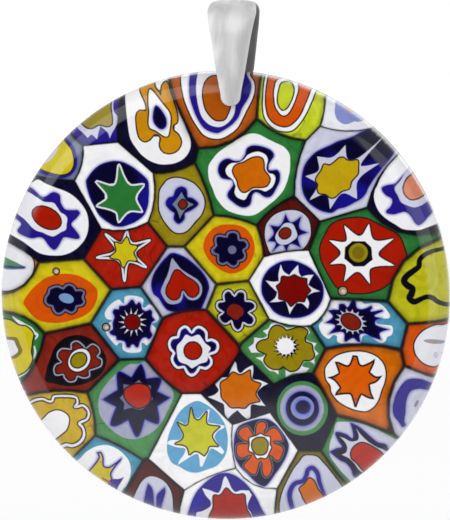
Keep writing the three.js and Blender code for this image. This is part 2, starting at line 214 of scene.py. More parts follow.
# Each slice of cane: its ground colour, the width of its dark seam, then its drawn layers from
# the ground up. A layer is (colour, shape, edge, grow). A number as the shape insets the last
# one. Edge "k" draws a thin dark line round it, "g" gives it a bright blue bleed inside.
PATTERNS = {
    "murrina_cobalt_olive": ("cobalt", 0.06, [
        ("lilac", "-13.4,15.2! -12.5,14.57 -12,14.14! -11.64,14.43 -11.14,14.04! -11,14.7 -10.86,15.18! -10.2,14.64 "
         "-10,14.14! -9.79,14.64 -9.45,15.2 -9.2,15.86 -9.7,16.5 -9.9,17.6! -12.2,17!"),
        ("olive", "-13,15.6! -12.07,15.04 -11.57,15.04 -11,15.32 -10.2,15.2 -9.86,15.4 -9.86,15.9 -10.07,16.9 "
         "-10.2,18! -13,16.5!", "k")]),
    "murrina_yellow_edge": ("steel", 0.06, [
        ("cobalt", "-15.4,14.6! -14.2,13.75 -13.54,13.1 -13.29,12.4 -13.29,11.7 -13.64,11.14 -14.3,10.9 -15.1,11 "
         "-15.8,11.14 -16.3,11.3 -17.6,11.5!", "", 0.34),
        ("yellow", 0.0, "k"),
        ("lilac", ellipse(-15.5, 12.6, 1.0, 0.4, 50))]),
    "murrina_amber_cross": ("navy", 0.1, [
        ("white", "-8.79,17.8 -8.57,16.5 -8.36,15.1 -8.14,14.07 -7.5,13.07 -6.64,12.3 -5.64,11.9 -4.64,11.9 -3.7,12.2 "
         "-3.07,12.8 -2.8,13.6 -3,14.6 -3.5,15.8 -4.07,17.1 -4.43,18.4 -4.7,19.3 -4.9,20.6! -9.2,19.6!"),
        ("amber", "-7.8,20! -7.43,18.4 -7,17.6 -6.75,17 -6.8,16.57 -7.3,16.57 -7.6,16.3 -7.6,15.4 -7.43,14.4 -7.14,14 "
         "-6.8,13.9 -6.43,14.1 -6.07,14.5 -5.7,14.5 -5.43,14.14 -5.54,13.6 -5.3,13.07 -4.8,12.86 -4.2,13 -3.8,13.4 "
         "-3.68,13.9 -3.93,14.5 -4.36,14.86 -4.39,15.3 -4.04,15.6 -4.04,16.3 -4.3,17.2 -4.64,18.2 -4.93,18.9 "
         "-5.2,19.1 -5.46,18.7 -5.46,17.9 -5.8,18.3 -6.2,18.8 -6.6,20.4!", "k"),
        ("white", "-6.5,18.43 -5.2,17.07 -4.7,16.4 -4.6,15.8 -4.7,14.86 -4.86,14.36 -5.2,14.4 -5.93,14.86 -6.4,15.07 "
         "-6.54,15.5 -6.5,16.5 -6.6,17.6", "k"),
        ("navy", "-5.93,17.07 -5.57,16.86 -5.07,16.14 -4.93,15.5 -5.07,15.07 -5.5,14.96 -6,15.36 -6.2,15.86 "
         "-6.14,16.57", "g")]),
    "murrina_brown_loops": ("rust", 0.1, [
        ("white", "-3.9,20.6! -3.79,19.4 -3.64,18.6 -3.3,17.4 -2.8,16.2 -2.2,15.2 -1.64,14.5 -0.86,14.18 -0.14,14.2 "
         "0.36,14.4 1.2,15 1.7,15.8 2.07,16.6 2.57,17.6 2.8,18.4 2.7,19.1 2.36,19.6 1.9,20.6!", "k"),
        ("cobalt", "-3.04,20.6! -3.04,19.4 -2.96,18.1 -2.7,17.07 -2.3,16.07 -1.7,15.14 -1.14,14.8 -0.5,14.64 "
         "-0.07,14.8 0.8,15.36 1.43,16.07 1.7,16.8 2.3,17.8 2.5,18.5 2.46,19.07 2.14,19.57 1.7,20.6!"),
        ("milk", "-2.36,20.6! -2.36,19.6 -2.36,18.4 -2.14,17.07 -1.8,16.07 -1.2,15.43 -0.5,15.2 0.07,15.3 0.7,15.8 "
         "1.04,16.4 1.14,17.07 1.4,18.1 1.3,20.6!"),
        ("rust", "-0.9,19.6 -1.43,19.3 -1.7,18.6 -1.7,17.8 -1.5,16.9 -1.14,16.3 -0.64,15.86 -0.14,15.8 0.2,15.93 "
         "0.5,16.5 0.64,17.07 0.6,18.5 0.2,19.4", "k")]),
    "murrina_lime_loops": ("lime", 0.08, [
        ("white", "3.6,20.6! 3.65,19.6 3.6,18 3.6,17 3.7,16.2 4.1,15.5 4.9,14.95 5.8,14.85 6.4,15.1 7,15.8 7.5,16.7 "
         "7.9,17.7 8.05,18.2 8.3,19.5!", "k"),
        ("coral", "3.95,20.6! 3.95,19.5 3.85,18 3.9,17 4.1,16.2 4.6,15.6 5.4,15.3 6.1,15.5 6.8,16.3 7.2,17.2 7.5,18 "
         "7.6,18.4 7.9,19.8!", "k"),
        ("white", "4.8,19.3 4.55,18.5 4.6,17.5 4.8,16.8 5.3,16.25 5.7,16.35 6.15,17 6.5,18 6.6,18.6 6.2,19.2", "k"),
        ("lime", "5.1,18.95 4.95,18.2 4.9,17.5 5.1,16.95 5.4,16.75 5.8,17.1 6.1,17.8 6.2,18.5 5.9,19 5.5,19.1",
         "k")]),
    "murrina_lilac_edge": ("milk", 0.03, [
        ("periwinkle", "9.86,18.6! 9.86,17.07 9.86,16.5 10.07,15.93 10.5,15.57 10.93,15.46 11.3,15.57 11.57,15.7 "
         "11.93,15.64 13.2,15.9! 12,18!"),
        ("orange", ellipse(11.1, 16.75, 0.42, 0.22, -35))]),
    "murrina_red_oval": ("navy", 0.06, [
        ("white", "-17.9,9.6! -17.1,10.07 -16.5,10.36 -15.8,10.07 -14.8,9.7 -14.07,9.46 -13.36,9.07 -12.64,8.43 "
         "-12.14,7.7 -11.93,6.93 -11.93,6.07 -12.14,5.36 -12.64,4.64 -13.36,4.07 -14.2,3.75 -15.07,3.7 -15.93,3.8 "
         "-16.5,4 -17.2,4.5 -18,5 -18.86,5.36 -20,5.6! -19.6,8.4!"),
        ("cobalt", "-18.2,9.9! -17.07,9.57 -16.5,9.2 -16.07,8.9 -15.64,9 -15.2,9.3 -14.8,9.3 -14.46,9.07 -14.39,8.5 "
         "-14.2,8.07 -13.93,7.8 -13.36,7.75 -12.86,7.75 -12.64,7.5 -12.93,7.07 -13.43,6.5 -13.07,6 -12.75,5.57 "
         "-12.7,5.25 -13.07,5.18 -13.7,5.3 -14.14,5.3 -14.36,4.93 -14.64,4.43 -14.93,4.2 -15.2,4.3 -15.57,4.7 "
         "-15.93,5.18 -16.3,5.3 -16.93,5.2 -17.64,5.36 -18.36,5.8 -18,6.4 -18.5,6.8 -20.2,7.2!"),
        ("milk", "-19.6,7.8! -18.3,7.2 -17.8,6.93 -17.36,6.57 -16.93,6.14 -16.5,5.86 -16.07,5.75 -15.64,5.57 "
         "-15.14,5.4 -14.8,5.5 -14.43,5.75 -13.93,6 -13.86,6.5 -13.8,7 -14,7.3 -14.43,7.57 -14.7,8 -15,8.36 "
         "-15.5,8.43 -16,8.5 -16.5,8.8 -17.36,9.2 -18.6,9.4!"),
        ("red", ellipse(-15.65, 7.05, 1.35, 0.85, -28), "k")]),
    "murrina_green_star": ("white", 0.03, [
        ("navy", "-12.14,10.3 -11.93,10.7 -11.5,11.3 -10.86,11.8 -10.14,12.07 -9.4,12.14 -8.7,12 -7.86,11.57 "
         "-7.07,10.93 -6.57,10.4 -6.5,9.8 -6.5,9.07 -6.6,8.14 -6.93,7.36 -7.64,6.8 -8.36,6.46 -9.07,6.3 -9.8,6.46 "
         "-10.93,7.3 -11.43,8.14 -11.86,9.07", "g"),
        ("milk", "-9.18,11.75! -8.3,10.07 -6.98,10.05! -7.7,8.9 -7.15,7.7! -8.3,7.7 -9.2,6.75! -9.43,7.64 -11.1,8.15! "
         "-10.2,8.93 -11.2,10.3! -9.57,10", "", 0.14),
        ("green", 0.0)]),
    "murrina_small_cross": ("olive", 0.08, [
        ("lilac", "-3.93,10.68 -4.8,10.5 -5.2,10.07 -5.5,9.57 -5.6,8.7 -5.57,7.86 -5.3,7.14 -4.86,6.5 -4.3,5.93 "
         "-3.8,5.8 -3.36,5.9 -2.93,6.2 -2.43,6.8 -1.93,7.36 -1.64,8 -1.57,8.57 -1.7,9.14 -2.14,9.8 -2.7,10.3", "k"),
        ("navy", "-3.6,9.93 -3.15,9.7 -3.07,9! -2.6,8.9 -2.1,8.4 -2.6,7.9 -3.3,7.57! -3.35,7 -3.86,6.6 -4.3,7 "
         "-4.25,7.57! -4.7,7.9 -5.04,8.4 -4.8,8.9 -4.36,9.07! -4.1,9.7", "g"),
        ("steel", "-3.6,9.43! -3.2,8.7 -2.54,8.35! -3.3,7.85 -3.75,7.1! -4,7.85 -4.43,8.36! -4,8.85"),
        ("brick", "-3.5,8.74 -3.14,8.35 -3.5,7.96 -3.84,8.35", "k")]),
    "murrina_orange_square": ("green", 0.08, [
        ("white", "-0.2,13.07 -0.7,12.57 -1.14,11.93 -1.25,11.36 -1.14,10.5 -0.86,9.8 -0.5,8.9 0.2,8.05 0.93,7.64 "
         "1.86,7.43 2.5,7.39 3.07,7.57 3.93,8.2 4.93,9.07 5.5,9.8 5.93,11.2 6,12.07 5.93,12.86 5.5,13.43 4.8,13.8 "
         "3.93,14.2 3.2,14.57 2.57,14.64 1.93,14.43 1.2,14"),
        ("navy", "2,12.8 2.14,13.3 2.57,13.57 3.07,13.6 3.8,13.43 4.36,13.14 4.6,12.7 4.36,12.3 4.1,11.86 4.14,11.43 "
         "4.5,11.43 4.86,11.46 5.1,11.14 5.1,10.5 4.86,9.93 4.36,9.14 3.93,9 3.57,9.14 3.3,9.36 2.93,9.46 2.68,9.2 "
         "2.6,8.7 2.43,8.3 2,8.1 1.5,8.2 0.93,8.57 0.5,9 0.5,9.43 0.8,9.86 0.96,10.14 0.86,10.5 0.5,10.57 "
         "-0.07,10.7 -0.36,11.2 -0.3,11.86 0.07,12.3 0.57,12.43 1.07,12.25 1.64,12.3", "g"),
        ("white", "2.2,12.7 2.64,12.93 3.2,13.04 3.8,12.8 4.04,12.36 3.93,11.93 3.89,11.5 4.14,11.14 4.5,11.07 "
         "4.7,10.8 4.64,10.36 4.43,9.93 4.14,9.7 3.8,9.54 3.43,9.68 3,9.75 2.57,9.64 2.3,9.3 2,8.8 1.36,9 1.1,9.43 "
         "1.2,10 1.14,10.14 0.93,10.57 0.5,10.9 0.3,11.3 0.43,11.7 0.8,12 1.43,12.07 1.93,12.36"),
        ("orange", "0.96,11.36 1.2,11.8 1.93,12.07 2.57,12.43 3.07,12.54 3.5,12.43 3.64,12.07 3.68,11.43 4.14,10.8 "
         "4.18,10.5 3.93,10.07 3.57,9.96 2.7,9.93 2.36,9.7 2,9.5 1.7,9.57 1.46,10 1.36,10.5 1.07,11", "k")]),
    "murrina_mustard_sun": ("lilac", 0.04, [
        ("navy", "8.3,13.07 9.5,13.64 10.2,14 10.9,14.2 11.64,14.5 12.2,14.8 12.57,14.93 14,15.6! 15.6,13.8! "
         "14.95,12.7 14.5,12.05 13.95,11.4 13.35,10.6 12.95,9.95 12.7,9.43 12.36,9 11.64,8.57 10.93,8.2 10.2,8 "
         "9.7,7.68 9,7.75 8.3,8.07 7.64,8.57 7.14,9.43 7,10.3 7.14,11.5 7.57,12.36", "g"),
        ("lilac", "8.39,12.64! 9.75,12.6 10.86,13.64! 11.1,12.4 12.1,12.6 14.3,14.5! 12.2,11.9 13.86,12.07! 12,10.6 "
         "11.9,8.93! 10.6,9.4 9.54,8.04! 9.2,9.3 7.75,8.82! 8.4,10.2 7.36,10.9! 8.5,11.4"),
        ("mustard", "9.5,11.86 9.93,12.14 10.36,12.5 10.7,12.54 11,12.3 11.43,12.25 11.93,12.3 11.96,11.7 11.96,11.2 "
         "11.64,10.8 11.36,10.43 11.2,9.86 10.57,9.64 10.3,9.43 9.93,9.1 9.6,9.04 9.14,9.36 8.57,9.43 8.43,9.8 "
         "8.5,10.2 8.3,10.57 8.5,11 8.7,11.3 8.86,11.64 9,11.93", "k")]),
    "murrina_salmon_edge": ("navy", 0.06, [
        ("white", "15.9,13.6! 15.2,12.5 14.8,12.07 14.36,11.43 13.93,10.7 13.64,10 13.5,9.8 13.4,9.07 13.57,8.36 "
         "14,7.64 14.64,7.07 15.36,6.64 15.93,6.3 16.64,6.18 17.36,6.2 18.07,6.4 18.8,6.6 20.2,6.9! 19,11!"),
        ("cobalt", "16.9,11.9! 15.8,10.9 15.2,10.3 14.5,10.14 14.07,9.93 14.14,9.57 14.5,9.2 14.93,8.96 15,8.64 "
         "14.8,8.2 14.5,7.93 14.5,7.68 15.07,7.57 15.57,7.68 16.07,7.8 16.36,7.7 16.7,7.3 17,6.8 17.3,6.6 17.7,6.8 "
         "18.14,7.3 19.4,8.6! 19,11!"),
        ("lilac", "17,12! 16.07,11.14 15.7,10.5 15.2,9.86 15.5,9.2 15.8,8.64 16.36,8.36 16.93,8.18 17.5,8.3 "
         "17.93,8.57 19.2,9.2!"),
        ("salmon", "17.6,11.6! 16.5,10.86 16.14,10.43 16,9.8 16.14,9.36 16.5,8.96 16.93,8.9 17.36,9.04 18.8,9.9!",
         "k")]),
    "murrina_white_slit_left": ("amber", 0.08, [
        ("milk", "-21,0.3! -20.07,0.36 -19.07,0.5 -18.14,0.86 -17.43,1.43 -16.93,2.14 -16.8,2.8 -16.93,3.36 "
         "-17.43,3.93 -18.14,4.36 -18.7,4.57 -20.6,5!", "k"),
        ("fern", "-19.9,3.36 -18.7,3.14 -17.9,2.8 -17.55,2.6 -17.9,2.45 -19.9,2.45"),
        ("navy", stroke("-20.2,2.57 -17.6,2.6", 0.14, 0.08))]),
    "murrina_orange_flower_left": ("yellow", 0.1, [
        ("coral", "-17.75,-0.5 -17.14,0.5 -16.5,1.14 -15.86,1.64 -15.07,1.93 -14.07,2.1 -13,2 -12.3,1.7 -11.64,1.3 "
         "-11.14,0.7 -11.07,0.1 -11.3,-0.57 -11.7,-1.2 -12.43,-1.7 -13.36,-2.04 -14.43,-2.3 -15.5,-2.3 -16.43,-2.07 "
         "-17.07,-1.57 -17.5,-1"),
        ("slate", "-15.57,0.36 -15.5,0.7 -15.07,0.96 -14.57,1.04 -14.2,0.86! -13.93,1.14 -13.57,1.2 -13.14,1 "
         "-13,0.7! -12.57,0.75 -12.2,0.5 -12.36,0! -12.18,-0.36 -12.43,-0.75 -12.93,-0.86! -13,-1.2 -13.36,-1.46 "
         "-13.7,-1.4 -14,-1.2! -14.3,-1.5 -14.8,-1.54 -15.14,-1.14 -15.2,-0.86! -15.57,-0.8 -15.86,-0.43 "
         "-15.8,0.07!", "k"),
        ("navy", 0.17),
        ("haze", ellipse(-13.88, -0.1, 0.68, 0.42, -15))]),
    "murrina_yellow_star": ("red", 0.08, [
        ("milk", "-8.46,5.95! -8.07,4.86 -6.43,5.14! -7.8,3.96 -6.75,2.75! -8.3,3.2 -8.68,1.5! -9.14,3.3 "
         "-11.14,3.57! -9.43,4.2 -10.36,5.64! -9,4.86", "k", 0.1),
        ("dark", 0.06),
        ("red", 0.14),
        ("yellow", "-8.46,5.36 -8.2,4.75 -7.57,4.57 -7.9,4 -7.64,3.36 -8.35,3.35 -8.8,2.75 -9.1,3.4 -9.93,3.6 "
         "-9.4,4.15 -9.5,4.9 -8.95,4.8", "k")]),
    "murrina_red_heart": ("lilac", 0.08, [
        ("navy", "-4.5,4.04 -3.64,3.86 -2.8,3.36 -1.93,2.57 -1.36,1.8 -1.14,1.07 -1.3,0.36 -1.6,-0.4 -1.93,-0.93 "
         "-2.64,-0.96 -3.36,-1.04 -4.07,-1.2 -4.8,-1.07 -5.2,-0.7 -5.64,0 -6.07,0.36 -6.3,0.93 -6.3,1.5 -6.07,2.2 "
         "-5.57,3 -5,3.64", "g"),
        ("mist", "-4.43,3.57 -4.2,3.3 -3.64,2.64 -2.93,2.14 -2.2,1.7 -1.8,1.14 -1.8,0.57 -2.07,0.07 -2.5,-0.14 "
         "-2.93,-0.07 -3.3,0.3 -3.46,0.57! -3.5,0.14 -3.7,-0.3 -4.2,-0.5 -4.8,-0.43 -5.2,0.07 -5.43,0.64 -5.2,1.3 "
         "-4.86,2.07 -4.64,2.8"),
        ("red", "-4.1,2.5 -3.8,2.43 -3.2,1.93 -2.5,1.5 -2.14,1.07 -2.14,0.57 -2.5,0.2 -2.93,0.3 -3.2,0.64 -3.46,0.86 "
         "-3.7,0.64 -3.8,0.2 -4.14,-0.07 -4.57,0 -4.9,0.43 -4.86,1 -4.57,1.57 -4.36,2.14", "k")]),
    "murrina_orange_flower_mid": ("yellow", 0.08, [
        ("coral", "-1.68,4.57 -1.5,5.36 -1,6.07 -0.3,6.5 0.2,6.6 1.3,6.57 2,6.3 2.57,5.7 2.86,4.93 2.86,4.14 "
         "2.57,3.36 2,2.7 1.2,2.3 0.43,2.3 -0.6,2.9 -1.3,3.64"),
        ("slate", "0.36,5.57! 0.43,5.86 0.93,6.04 1.43,5.86 1.57,5.3! 2,5.3 2.3,5 2.3,4.57 1.96,4.3! 2.14,3.86 "
         "1.93,3.43 1.5,3.3! 1.43,3 1.07,2.8 0.64,2.93 0.43,3.14! 0.07,3 -0.36,3.2 -0.45,3.6 -0.43,3.86! -0.86,4 "
         "-0.96,4.36 -0.6,4.75! -0.7,5.2 -0.57,5.57 -0.2,5.7", "k"),
        ("navy", 0.17),
        ("slate", ellipse(0.9, 4.36, 0.38))]),
    "murrina_zigzag_star": ("maroon", 0.08, [
        ("lilac", "3.8,5.93 3.93,6.64 4.5,7.36 5.2,7.75 5.93,7.9 6.64,7.86 7.2,7.57 7.64,7.07 7.8,6.43 7.8,5.64 "
         "7.5,4.93 7,4.43 6.3,4.3 5.57,4.2 4.86,4.14 4.36,4.07 4.07,4.57 3.86,5.2", "k"),
        ("navy", "5.6,7.54! 6.1,6.85 7,7.35! 6.85,6.35 7.6,5.93! 6.75,5.55 6.96,4.62! 6.05,4.9 5.7,4.25! 5.3,4.85 "
         "4.43,4.2! 4.75,5 4.05,5.15! 4.55,5.86 4.25,6.55! 5.14,6.55", "g"),
        ("lilac", "5.15,6.3 5.6,6.75 6.2,6.7 6.5,6.2 6.65,5.6 6.2,5.15 5.6,4.85 5,4.95 4.7,5.5"),
        ("brick", ellipse(5.57, 5.85, 0.5, 0.42, 35), "k")]),
    "murrina_white_star": ("green", 0.1, [
        ("red", "9.5,6.45 10.07,6.86 10.93,7.14 11.8,7.25 12.7,7.18 13.5,6.8 14.5,6.3 15.36,5.86 15.8,5.3 16.07,4.5 "
         "16.25,3.86 15.93,3.2 15.43,2.43 14.93,1.7 14.14,1.07 13.07,0.7 12,0.6 11.14,0.7 10.2,1.14 9.65,1.9 "
         "9.14,2.8 8.8,3.57 8.68,4.43 8.86,5.2 9.3,6", "k"),
        ("white", "10.8,6.57! 12.18,5.64 12.96,6.7! 13.43,5.3 15.14,5.43! 13.8,4.07 15.2,3.07! 13.14,2.8 13.07,1.43! "
         "12,2.5 10.8,1.64! 10.9,3.1 9.54,3.14! 10.5,4.14 9.5,5.25! 10.96,5.2", "k"),
        ("ink", "10.86,4.64! 11.5,5.2! 12.64,5.2! 13.2,4.64! 13.3,3.57! 12.57,2.96! 11.64,2.96! 10.8,3.64!"),
        ("olive", ellipse(12.04, 4.18, 0.84)),
        ("moss", ellipse(12.04, 4.18, 0.56))]),
    "murrina_yellow_wave": ("straw", 0.1, [
        ("ink", stroke("20.3,4.5 19.3,4.43 18.5,4.3 17.86,4 17.43,3.57 17.36,3 16.86,2.57 16.3,2.14 16.07,1.7 "
                       "16.36,1.3 16.8,1 16.7,0.5 16.57,0.2 16.93,-0.14 17.5,0.07 18.07,0.3 18.57,0.2 19,-0.14 "
                       "19.64,-0.43 20.6,-0.7", 0.35, 0.38, 0.45, 0.55, 0.6, 0.62, 0.45, 0.4, 0.4))]),
    "murrina_olive_flower_edge": ("green", 0.08, [
        ("milk", stroke("-18.8,-1.8 -18.3,-2.2 -17.7,-2.5 -17.1,-2.8 -16.8,-3.2 -16.5,-3.4 -16.7,-3.8",
                        0.1, 0.28, 0.2, 0.3, 0.12)),
        ("milk", stroke("-16.8,-4.4 -16.7,-5 -16.9,-5.6", 0.1, 0.22, 0.1)),
        ("milk", stroke("-17.3,-6.4 -17.8,-6.9 -18.6,-7.4 -19.4,-7.8", 0.3, 0.25, 0.15)),
        ("yellow", "-21,-2.2! -20,-2.2 -19,-2.2 -18.2,-2.6 -17.5,-2.7 -16.9,-3.3 -17,-4 -17.1,-5 -17,-5.6 -17.4,-6.4 "
         "-18,-6.9 -18.8,-7.3 -20,-7.7!", "k"),
        ("moss", "-20.8,-3.6! -19.3,-3.7 -18.4,-3.7 -18.1,-4.3 -17.9,-4.9 -18.4,-5.5 -19.2,-5.8 -20.6,-6.2!"),
        ("milk", "-20.8,-4.2! -19.8,-4.1 -19.3,-4 -18.7,-4 -18.5,-4.4 -18.3,-4.9 -18.7,-5.3 -19.3,-5.6 -20.6,-6!")]),
    "murrina_brick_flower": ("brick", 0.1, [
        ("ink", "-12.8,-3.35 -11.5,-3.8 -10.7,-4.6 -10.3,-5.6 -10.8,-6.8 -12,-7.6 -13.5,-7.95 -15,-7.75 -15.8,-7.5 "
         "-15.7,-6.5 -15.3,-5.3 -14.9,-4.4 -14,-3.6"),
        ("mist", "-13,-3.85 -12.5,-4.1 -12.15,-4.5! -11.6,-4.1 -11,-4.4 -10.85,-4.9 -11.1,-5.25! -10.7,-5.5 "
         "-10.75,-6.1 -11.3,-6.4 -11.8,-6.55! -11.8,-7.05 -12.3,-7.25 -12.9,-7.1! -13.1,-7.5 -13.7,-7.6 -14.15,-7.2 "
         "-14.2,-6.95! -14.9,-7 -15.1,-6.5 -14.9,-6 -14.4,-5.8! -14.75,-5.4 -14.7,-4.9 -14.3,-4.55 -13.5,-4.6! "
         "-13.5,-4.1", "k"),
        ("brick", 0.24, "k"),
        ("milk", ellipse(-12.75, -5.6, 1.1, 0.88, 50), "k"),
        ("olive", ellipse(-12.8, -5.6, 0.72, 0.58, 40), "k")]),
    "murrina_blue_gear": ("teal", 0.08, [
        ("milk", "-8.65,0.1 -8.2,0.22 -7.5,0.15 -7,-0.1 -7.05,-0.75 -6.85,-0.85 -6.5,-0.55 -6.1,-0.75 -5.7,-1.4 "
         "-5.65,-1.9 -5.9,-2.15 -6.25,-2.3 -5.95,-2.6 -5.85,-2.75 -6.1,-3.5 -6.7,-4.2 -6.95,-4 -7.15,-4 -7.2,-4.7 "
         "-7.6,-4.85 -8.4,-4.85 -8.85,-4.6 -8.9,-4.05 -9.15,-4 -9.4,-4.25 -9.8,-3.9 -10.3,-3.2 -10.4,-2.6 -10,-2.2 "
         "-9.8,-2 -10.3,-1.85 -10.45,-1.4 -10.2,-0.9 -9.7,-0.4 -9.2,-0.15 -9.1,-0.2 -8.85,-0.5 -8.7,-0.5"),
        ("navy", "-8.3,-0.4 -8.1,-0.15 -7.9,-0.15 -7.65,-0.55 -7.4,-0.35 -7.2,-0.5 -7.1,-0.95 -6.8,-1.15 -6.4,-1 "
         "-6.2,-1.2 -6.2,-1.6 -5.95,-1.95 -6.2,-2.15 -6.35,-2.5 -6.35,-2.9 -6.2,-3.3 -6.5,-3.65 -6.8,-3.5 -7.1,-3.6 "
         "-7.35,-4 -7.45,-4.35 -7.65,-4.4 -7.9,-4.15 -8.1,-4.2 -8.2,-4.4 -8.5,-4.4 -8.65,-3.95 -9,-3.8 -9.4,-3.75 "
         "-9.45,-3.45 -9.9,-3.3 -10.05,-3 -9.75,-2.8 -9.75,-2.2 -9.6,-1.7 -9.75,-1.3 -9.6,-1 -9.2,-1 -9.15,-0.75 "
         "-8.6,-0.65", "g"),
        ("milk", burst(-7.97, -2.15, 13, 1.25, 0.74, 1.0, 10, 0.1)),
        ("ruby", ellipse(-7.99, -2.15, 0.64), "k")]),
    "murrina_red_daisy": ("red", 0.1, [
        ("milk", "-2.7,-2.9! -3,-2.5 -3.4,-2.4 -3.85,-2.75 -4,-3.35! -4.5,-3.45 -4.8,-3.9 -4.7,-4.5 -4.38,-4.87! "
         "-4.57,-5.3 -4.45,-5.8 -4,-6.25 -3.42,-6.2! -3.15,-6.7 -2.7,-6.95 -2.25,-6.7 -1.95,-6.2! -1.4,-6.3 "
         "-0.9,-5.9 -0.85,-5.4 -1.1,-5.03! -0.5,-4.8 -0.25,-4.3 -0.4,-3.8 -0.9,-3.52 -1.28,-3.6! -1.3,-3 -1.6,-2.6 "
         "-2.1,-2.4 -2.5,-2.6", "k"),
        ("navy", 0.22, "g"),
        ("milk", "-3.2,-3.22 -2.7,-3.4 -2.1,-3.2 -1.8,-3.5 -1.5,-3.95 -1.02,-4.35 -1.25,-4.9 -1.35,-5.55 -2,-5.8 "
         "-2.4,-6.05 -2.7,-6.2 -3.05,-5.9 -3.8,-5.6 -4,-5 -4,-4.25 -3.55,-3.7"),
        ("red", ellipse(-2.6, -4.63, 0.74), "k")]),
    "murrina_lime_daisy": ("straw", 0.1, [
        ("lilac", "1.1,0.35! 1.35,0.7 1.75,0.82 2.1,0.55 2.13,-0.1! 2.55,-0.12 2.95,-0.35 3.02,-0.75 2.75,-1.05 "
         "2.43,-1.2! 2.85,-1.5 2.95,-1.95 2.65,-2.35 2.2,-2.35 1.9,-2.15! 1.8,-2.6 1.4,-2.9 1,-2.65 0.78,-2! "
         "0.5,-2.25 0.1,-2.25 -0.25,-1.95 -0.35,-1.5 0.05,-1.2! -0.35,-1 -0.55,-0.6 -0.35,-0.2 0.13,-0.15! "
         "0.05,0.3 0.3,0.75 0.7,0.8", "k"),
        ("navy", 0.15),
        ("brick", "0.45,-0.9 0.9,-0.45 1.4,-0.5 1.85,-0.85 1.9,-1.3 1.6,-1.6 1.25,-1.85 0.85,-1.6 0.45,-1.3")]),
    "murrina_swirl_star": ("white", 0.03, [
        ("navy", "3.5,1.5 3.65,2 4.1,2.65 4.7,3.1 5.4,3.4 6.3,3.45 7.1,3.2 7.8,2.8 8.4,2.2 8.85,1.5 9,0.8 8.9,0 "
         "8.5,-0.7 7.8,-1.3 7,-1.6 6.1,-1.65 5.2,-1.45 4.6,-1.1 4.2,-0.6 3.8,-0.1 3.5,0.6", "g"),
        ("milk", "5.2,3.05! 5.45,2.5 5.95,2.15! 6.2,2.5 6.72,3.05! 6.8,2.4 7.02,2! 7.5,2.15 8.1,2.2! 7.8,1.75 "
         "7.6,1.3! 8,1.05 8.65,0.75! 8,0.6 7.45,0.25! 7.7,-0.3 7.6,-0.8! 7.1,-0.35 6.6,-0.3! 6.3,-0.7 6,-1.3! "
         "5.8,-0.6 5.6,-0.1! 5,-0.2 4.25,-0.25! 4.7,0.1 4.9,0.65! 4.4,1.1 3.9,1.65! 4.5,1.55 5.05,1.6! 5,2.3"),
        ("ruby", "5.35,2 5.9,1.93 6.4,2.15! 6.9,1.9 7.45,1.8! 7.45,1.3 7.8,0.8! 7.42,0.3 7.25,-0.15! 6.7,-0.12 "
         "6.1,-0.55! 5.7,-0.1 5.08,0.08! 5.07,0.65 4.87,1.15! 5.25,1.5", "k")]),
    "murrina_blue_burst": ("teal", 0.1, [
        ("white", "9.5,-0.1 10.3,0 11.4,0.1 12.2,-0.05 12.6,-0.35 13.2,-0.3 13.9,-0.3 14.4,-0.7 14.85,-1.35 "
         "14.75,-1.6 14,-1.65 13.6,-1.85 13.7,-2.1 14.3,-2.2 15,-2.3 15.1,-2.7 15,-3.1 14.6,-3.3 14.5,-3.6 "
         "14.2,-3.8 13.8,-3.7 13.2,-3.3 12.7,-3.12 12.4,-3.25 12.35,-3.6 12.2,-3.85 11.3,-3.85 10.5,-3.85 10.2,-3.7 "
         "10.15,-3.2 9.8,-3.15 9.5,-3.45 9.1,-3.3 8.7,-2.8 8.6,-2.2 8.95,-1.8 8.75,-1.4 9.1,-0.9"),
        ("navy", "11.5,-0.02 11.8,-0.1 11.95,-0.7 12.4,-0.8 13.2,-0.5! 13.3,-0.7! 13.15,-1 14.15,-0.85! 14.25,-1! "
         "13.5,-1.4 14.15,-1.6! 13.6,-1.85 13.6,-2.2 14.8,-2.6! 13.95,-2.95 14.1,-3.55! 13.2,-3.3 12.6,-3 12.2,-3.1 "
         "12.25,-3.75! 12,-3.7 11.6,-3.4 10.95,-3.75! 10.8,-3.6 10.8,-3 10.5,-2.85 9.4,-3.05! 10,-2.3 9.1,-2.05! "
         "9.8,-1.5 9.35,-0.95! 9.9,-0.85 10.3,-0.85 10.35,-0.4 10.8,-0.35 11.1,-0.65", "g"),
        ("lilac", burst(11.42, -1.93, 15, 1.42, 1.08, 0.76, -22, 0.25)),
        ("brick", ellipse(11.4, -1.93, 0.82, 0.54, -30), "k", 0.06)]),
    "murrina_white_slit_right": ("coral", 0.1, [
        ("milk", "20.4,-2.1! 19.5,-2.3 18.9,-2.25 18.2,-2.5 17.6,-2.9 17.15,-3.5 17,-4.1 17.15,-4.8 17.6,-5.4 "
         "18.2,-5.8 18.7,-5.95 19.1,-5.9 20.2,-5.9!", "k"),
        ("haze", ellipse(18.75, -3.72, 0.95, 0.2, -8)),
        ("tan", ellipse(18.68, -3.72, 0.82, 0.12, -8)),
        ("lilac", ellipse(18.85, -4.95, 0.2, 0.3))]),
    "murrina_olive_flower": ("fern", 0.08, [
        ("milk", "4.4,-2.15 5,-2.1 5.55,-2.45! 5.9,-2.55 6.6,-2.3 7.4,-2.35 7.8,-2.9! 7.55,-3.2 7.3,-3.5! 7.8,-3.75 "
         "8.4,-3.85! 8.15,-4.3 8.55,-4.8! 8.2,-5.1 8.2,-5.75! 7.8,-5.5 7.3,-5.55 7.1,-5.9 7.75,-6.1! 7.3,-6.5 "
         "6.3,-6.55 5.65,-6.9! 5.6,-6.2 5.4,-5.95 5.05,-6.15 5,-6.7! 4.6,-6.4 4.2,-6.35! 3.85,-6 3.5,-5.5 3,-5.2! "
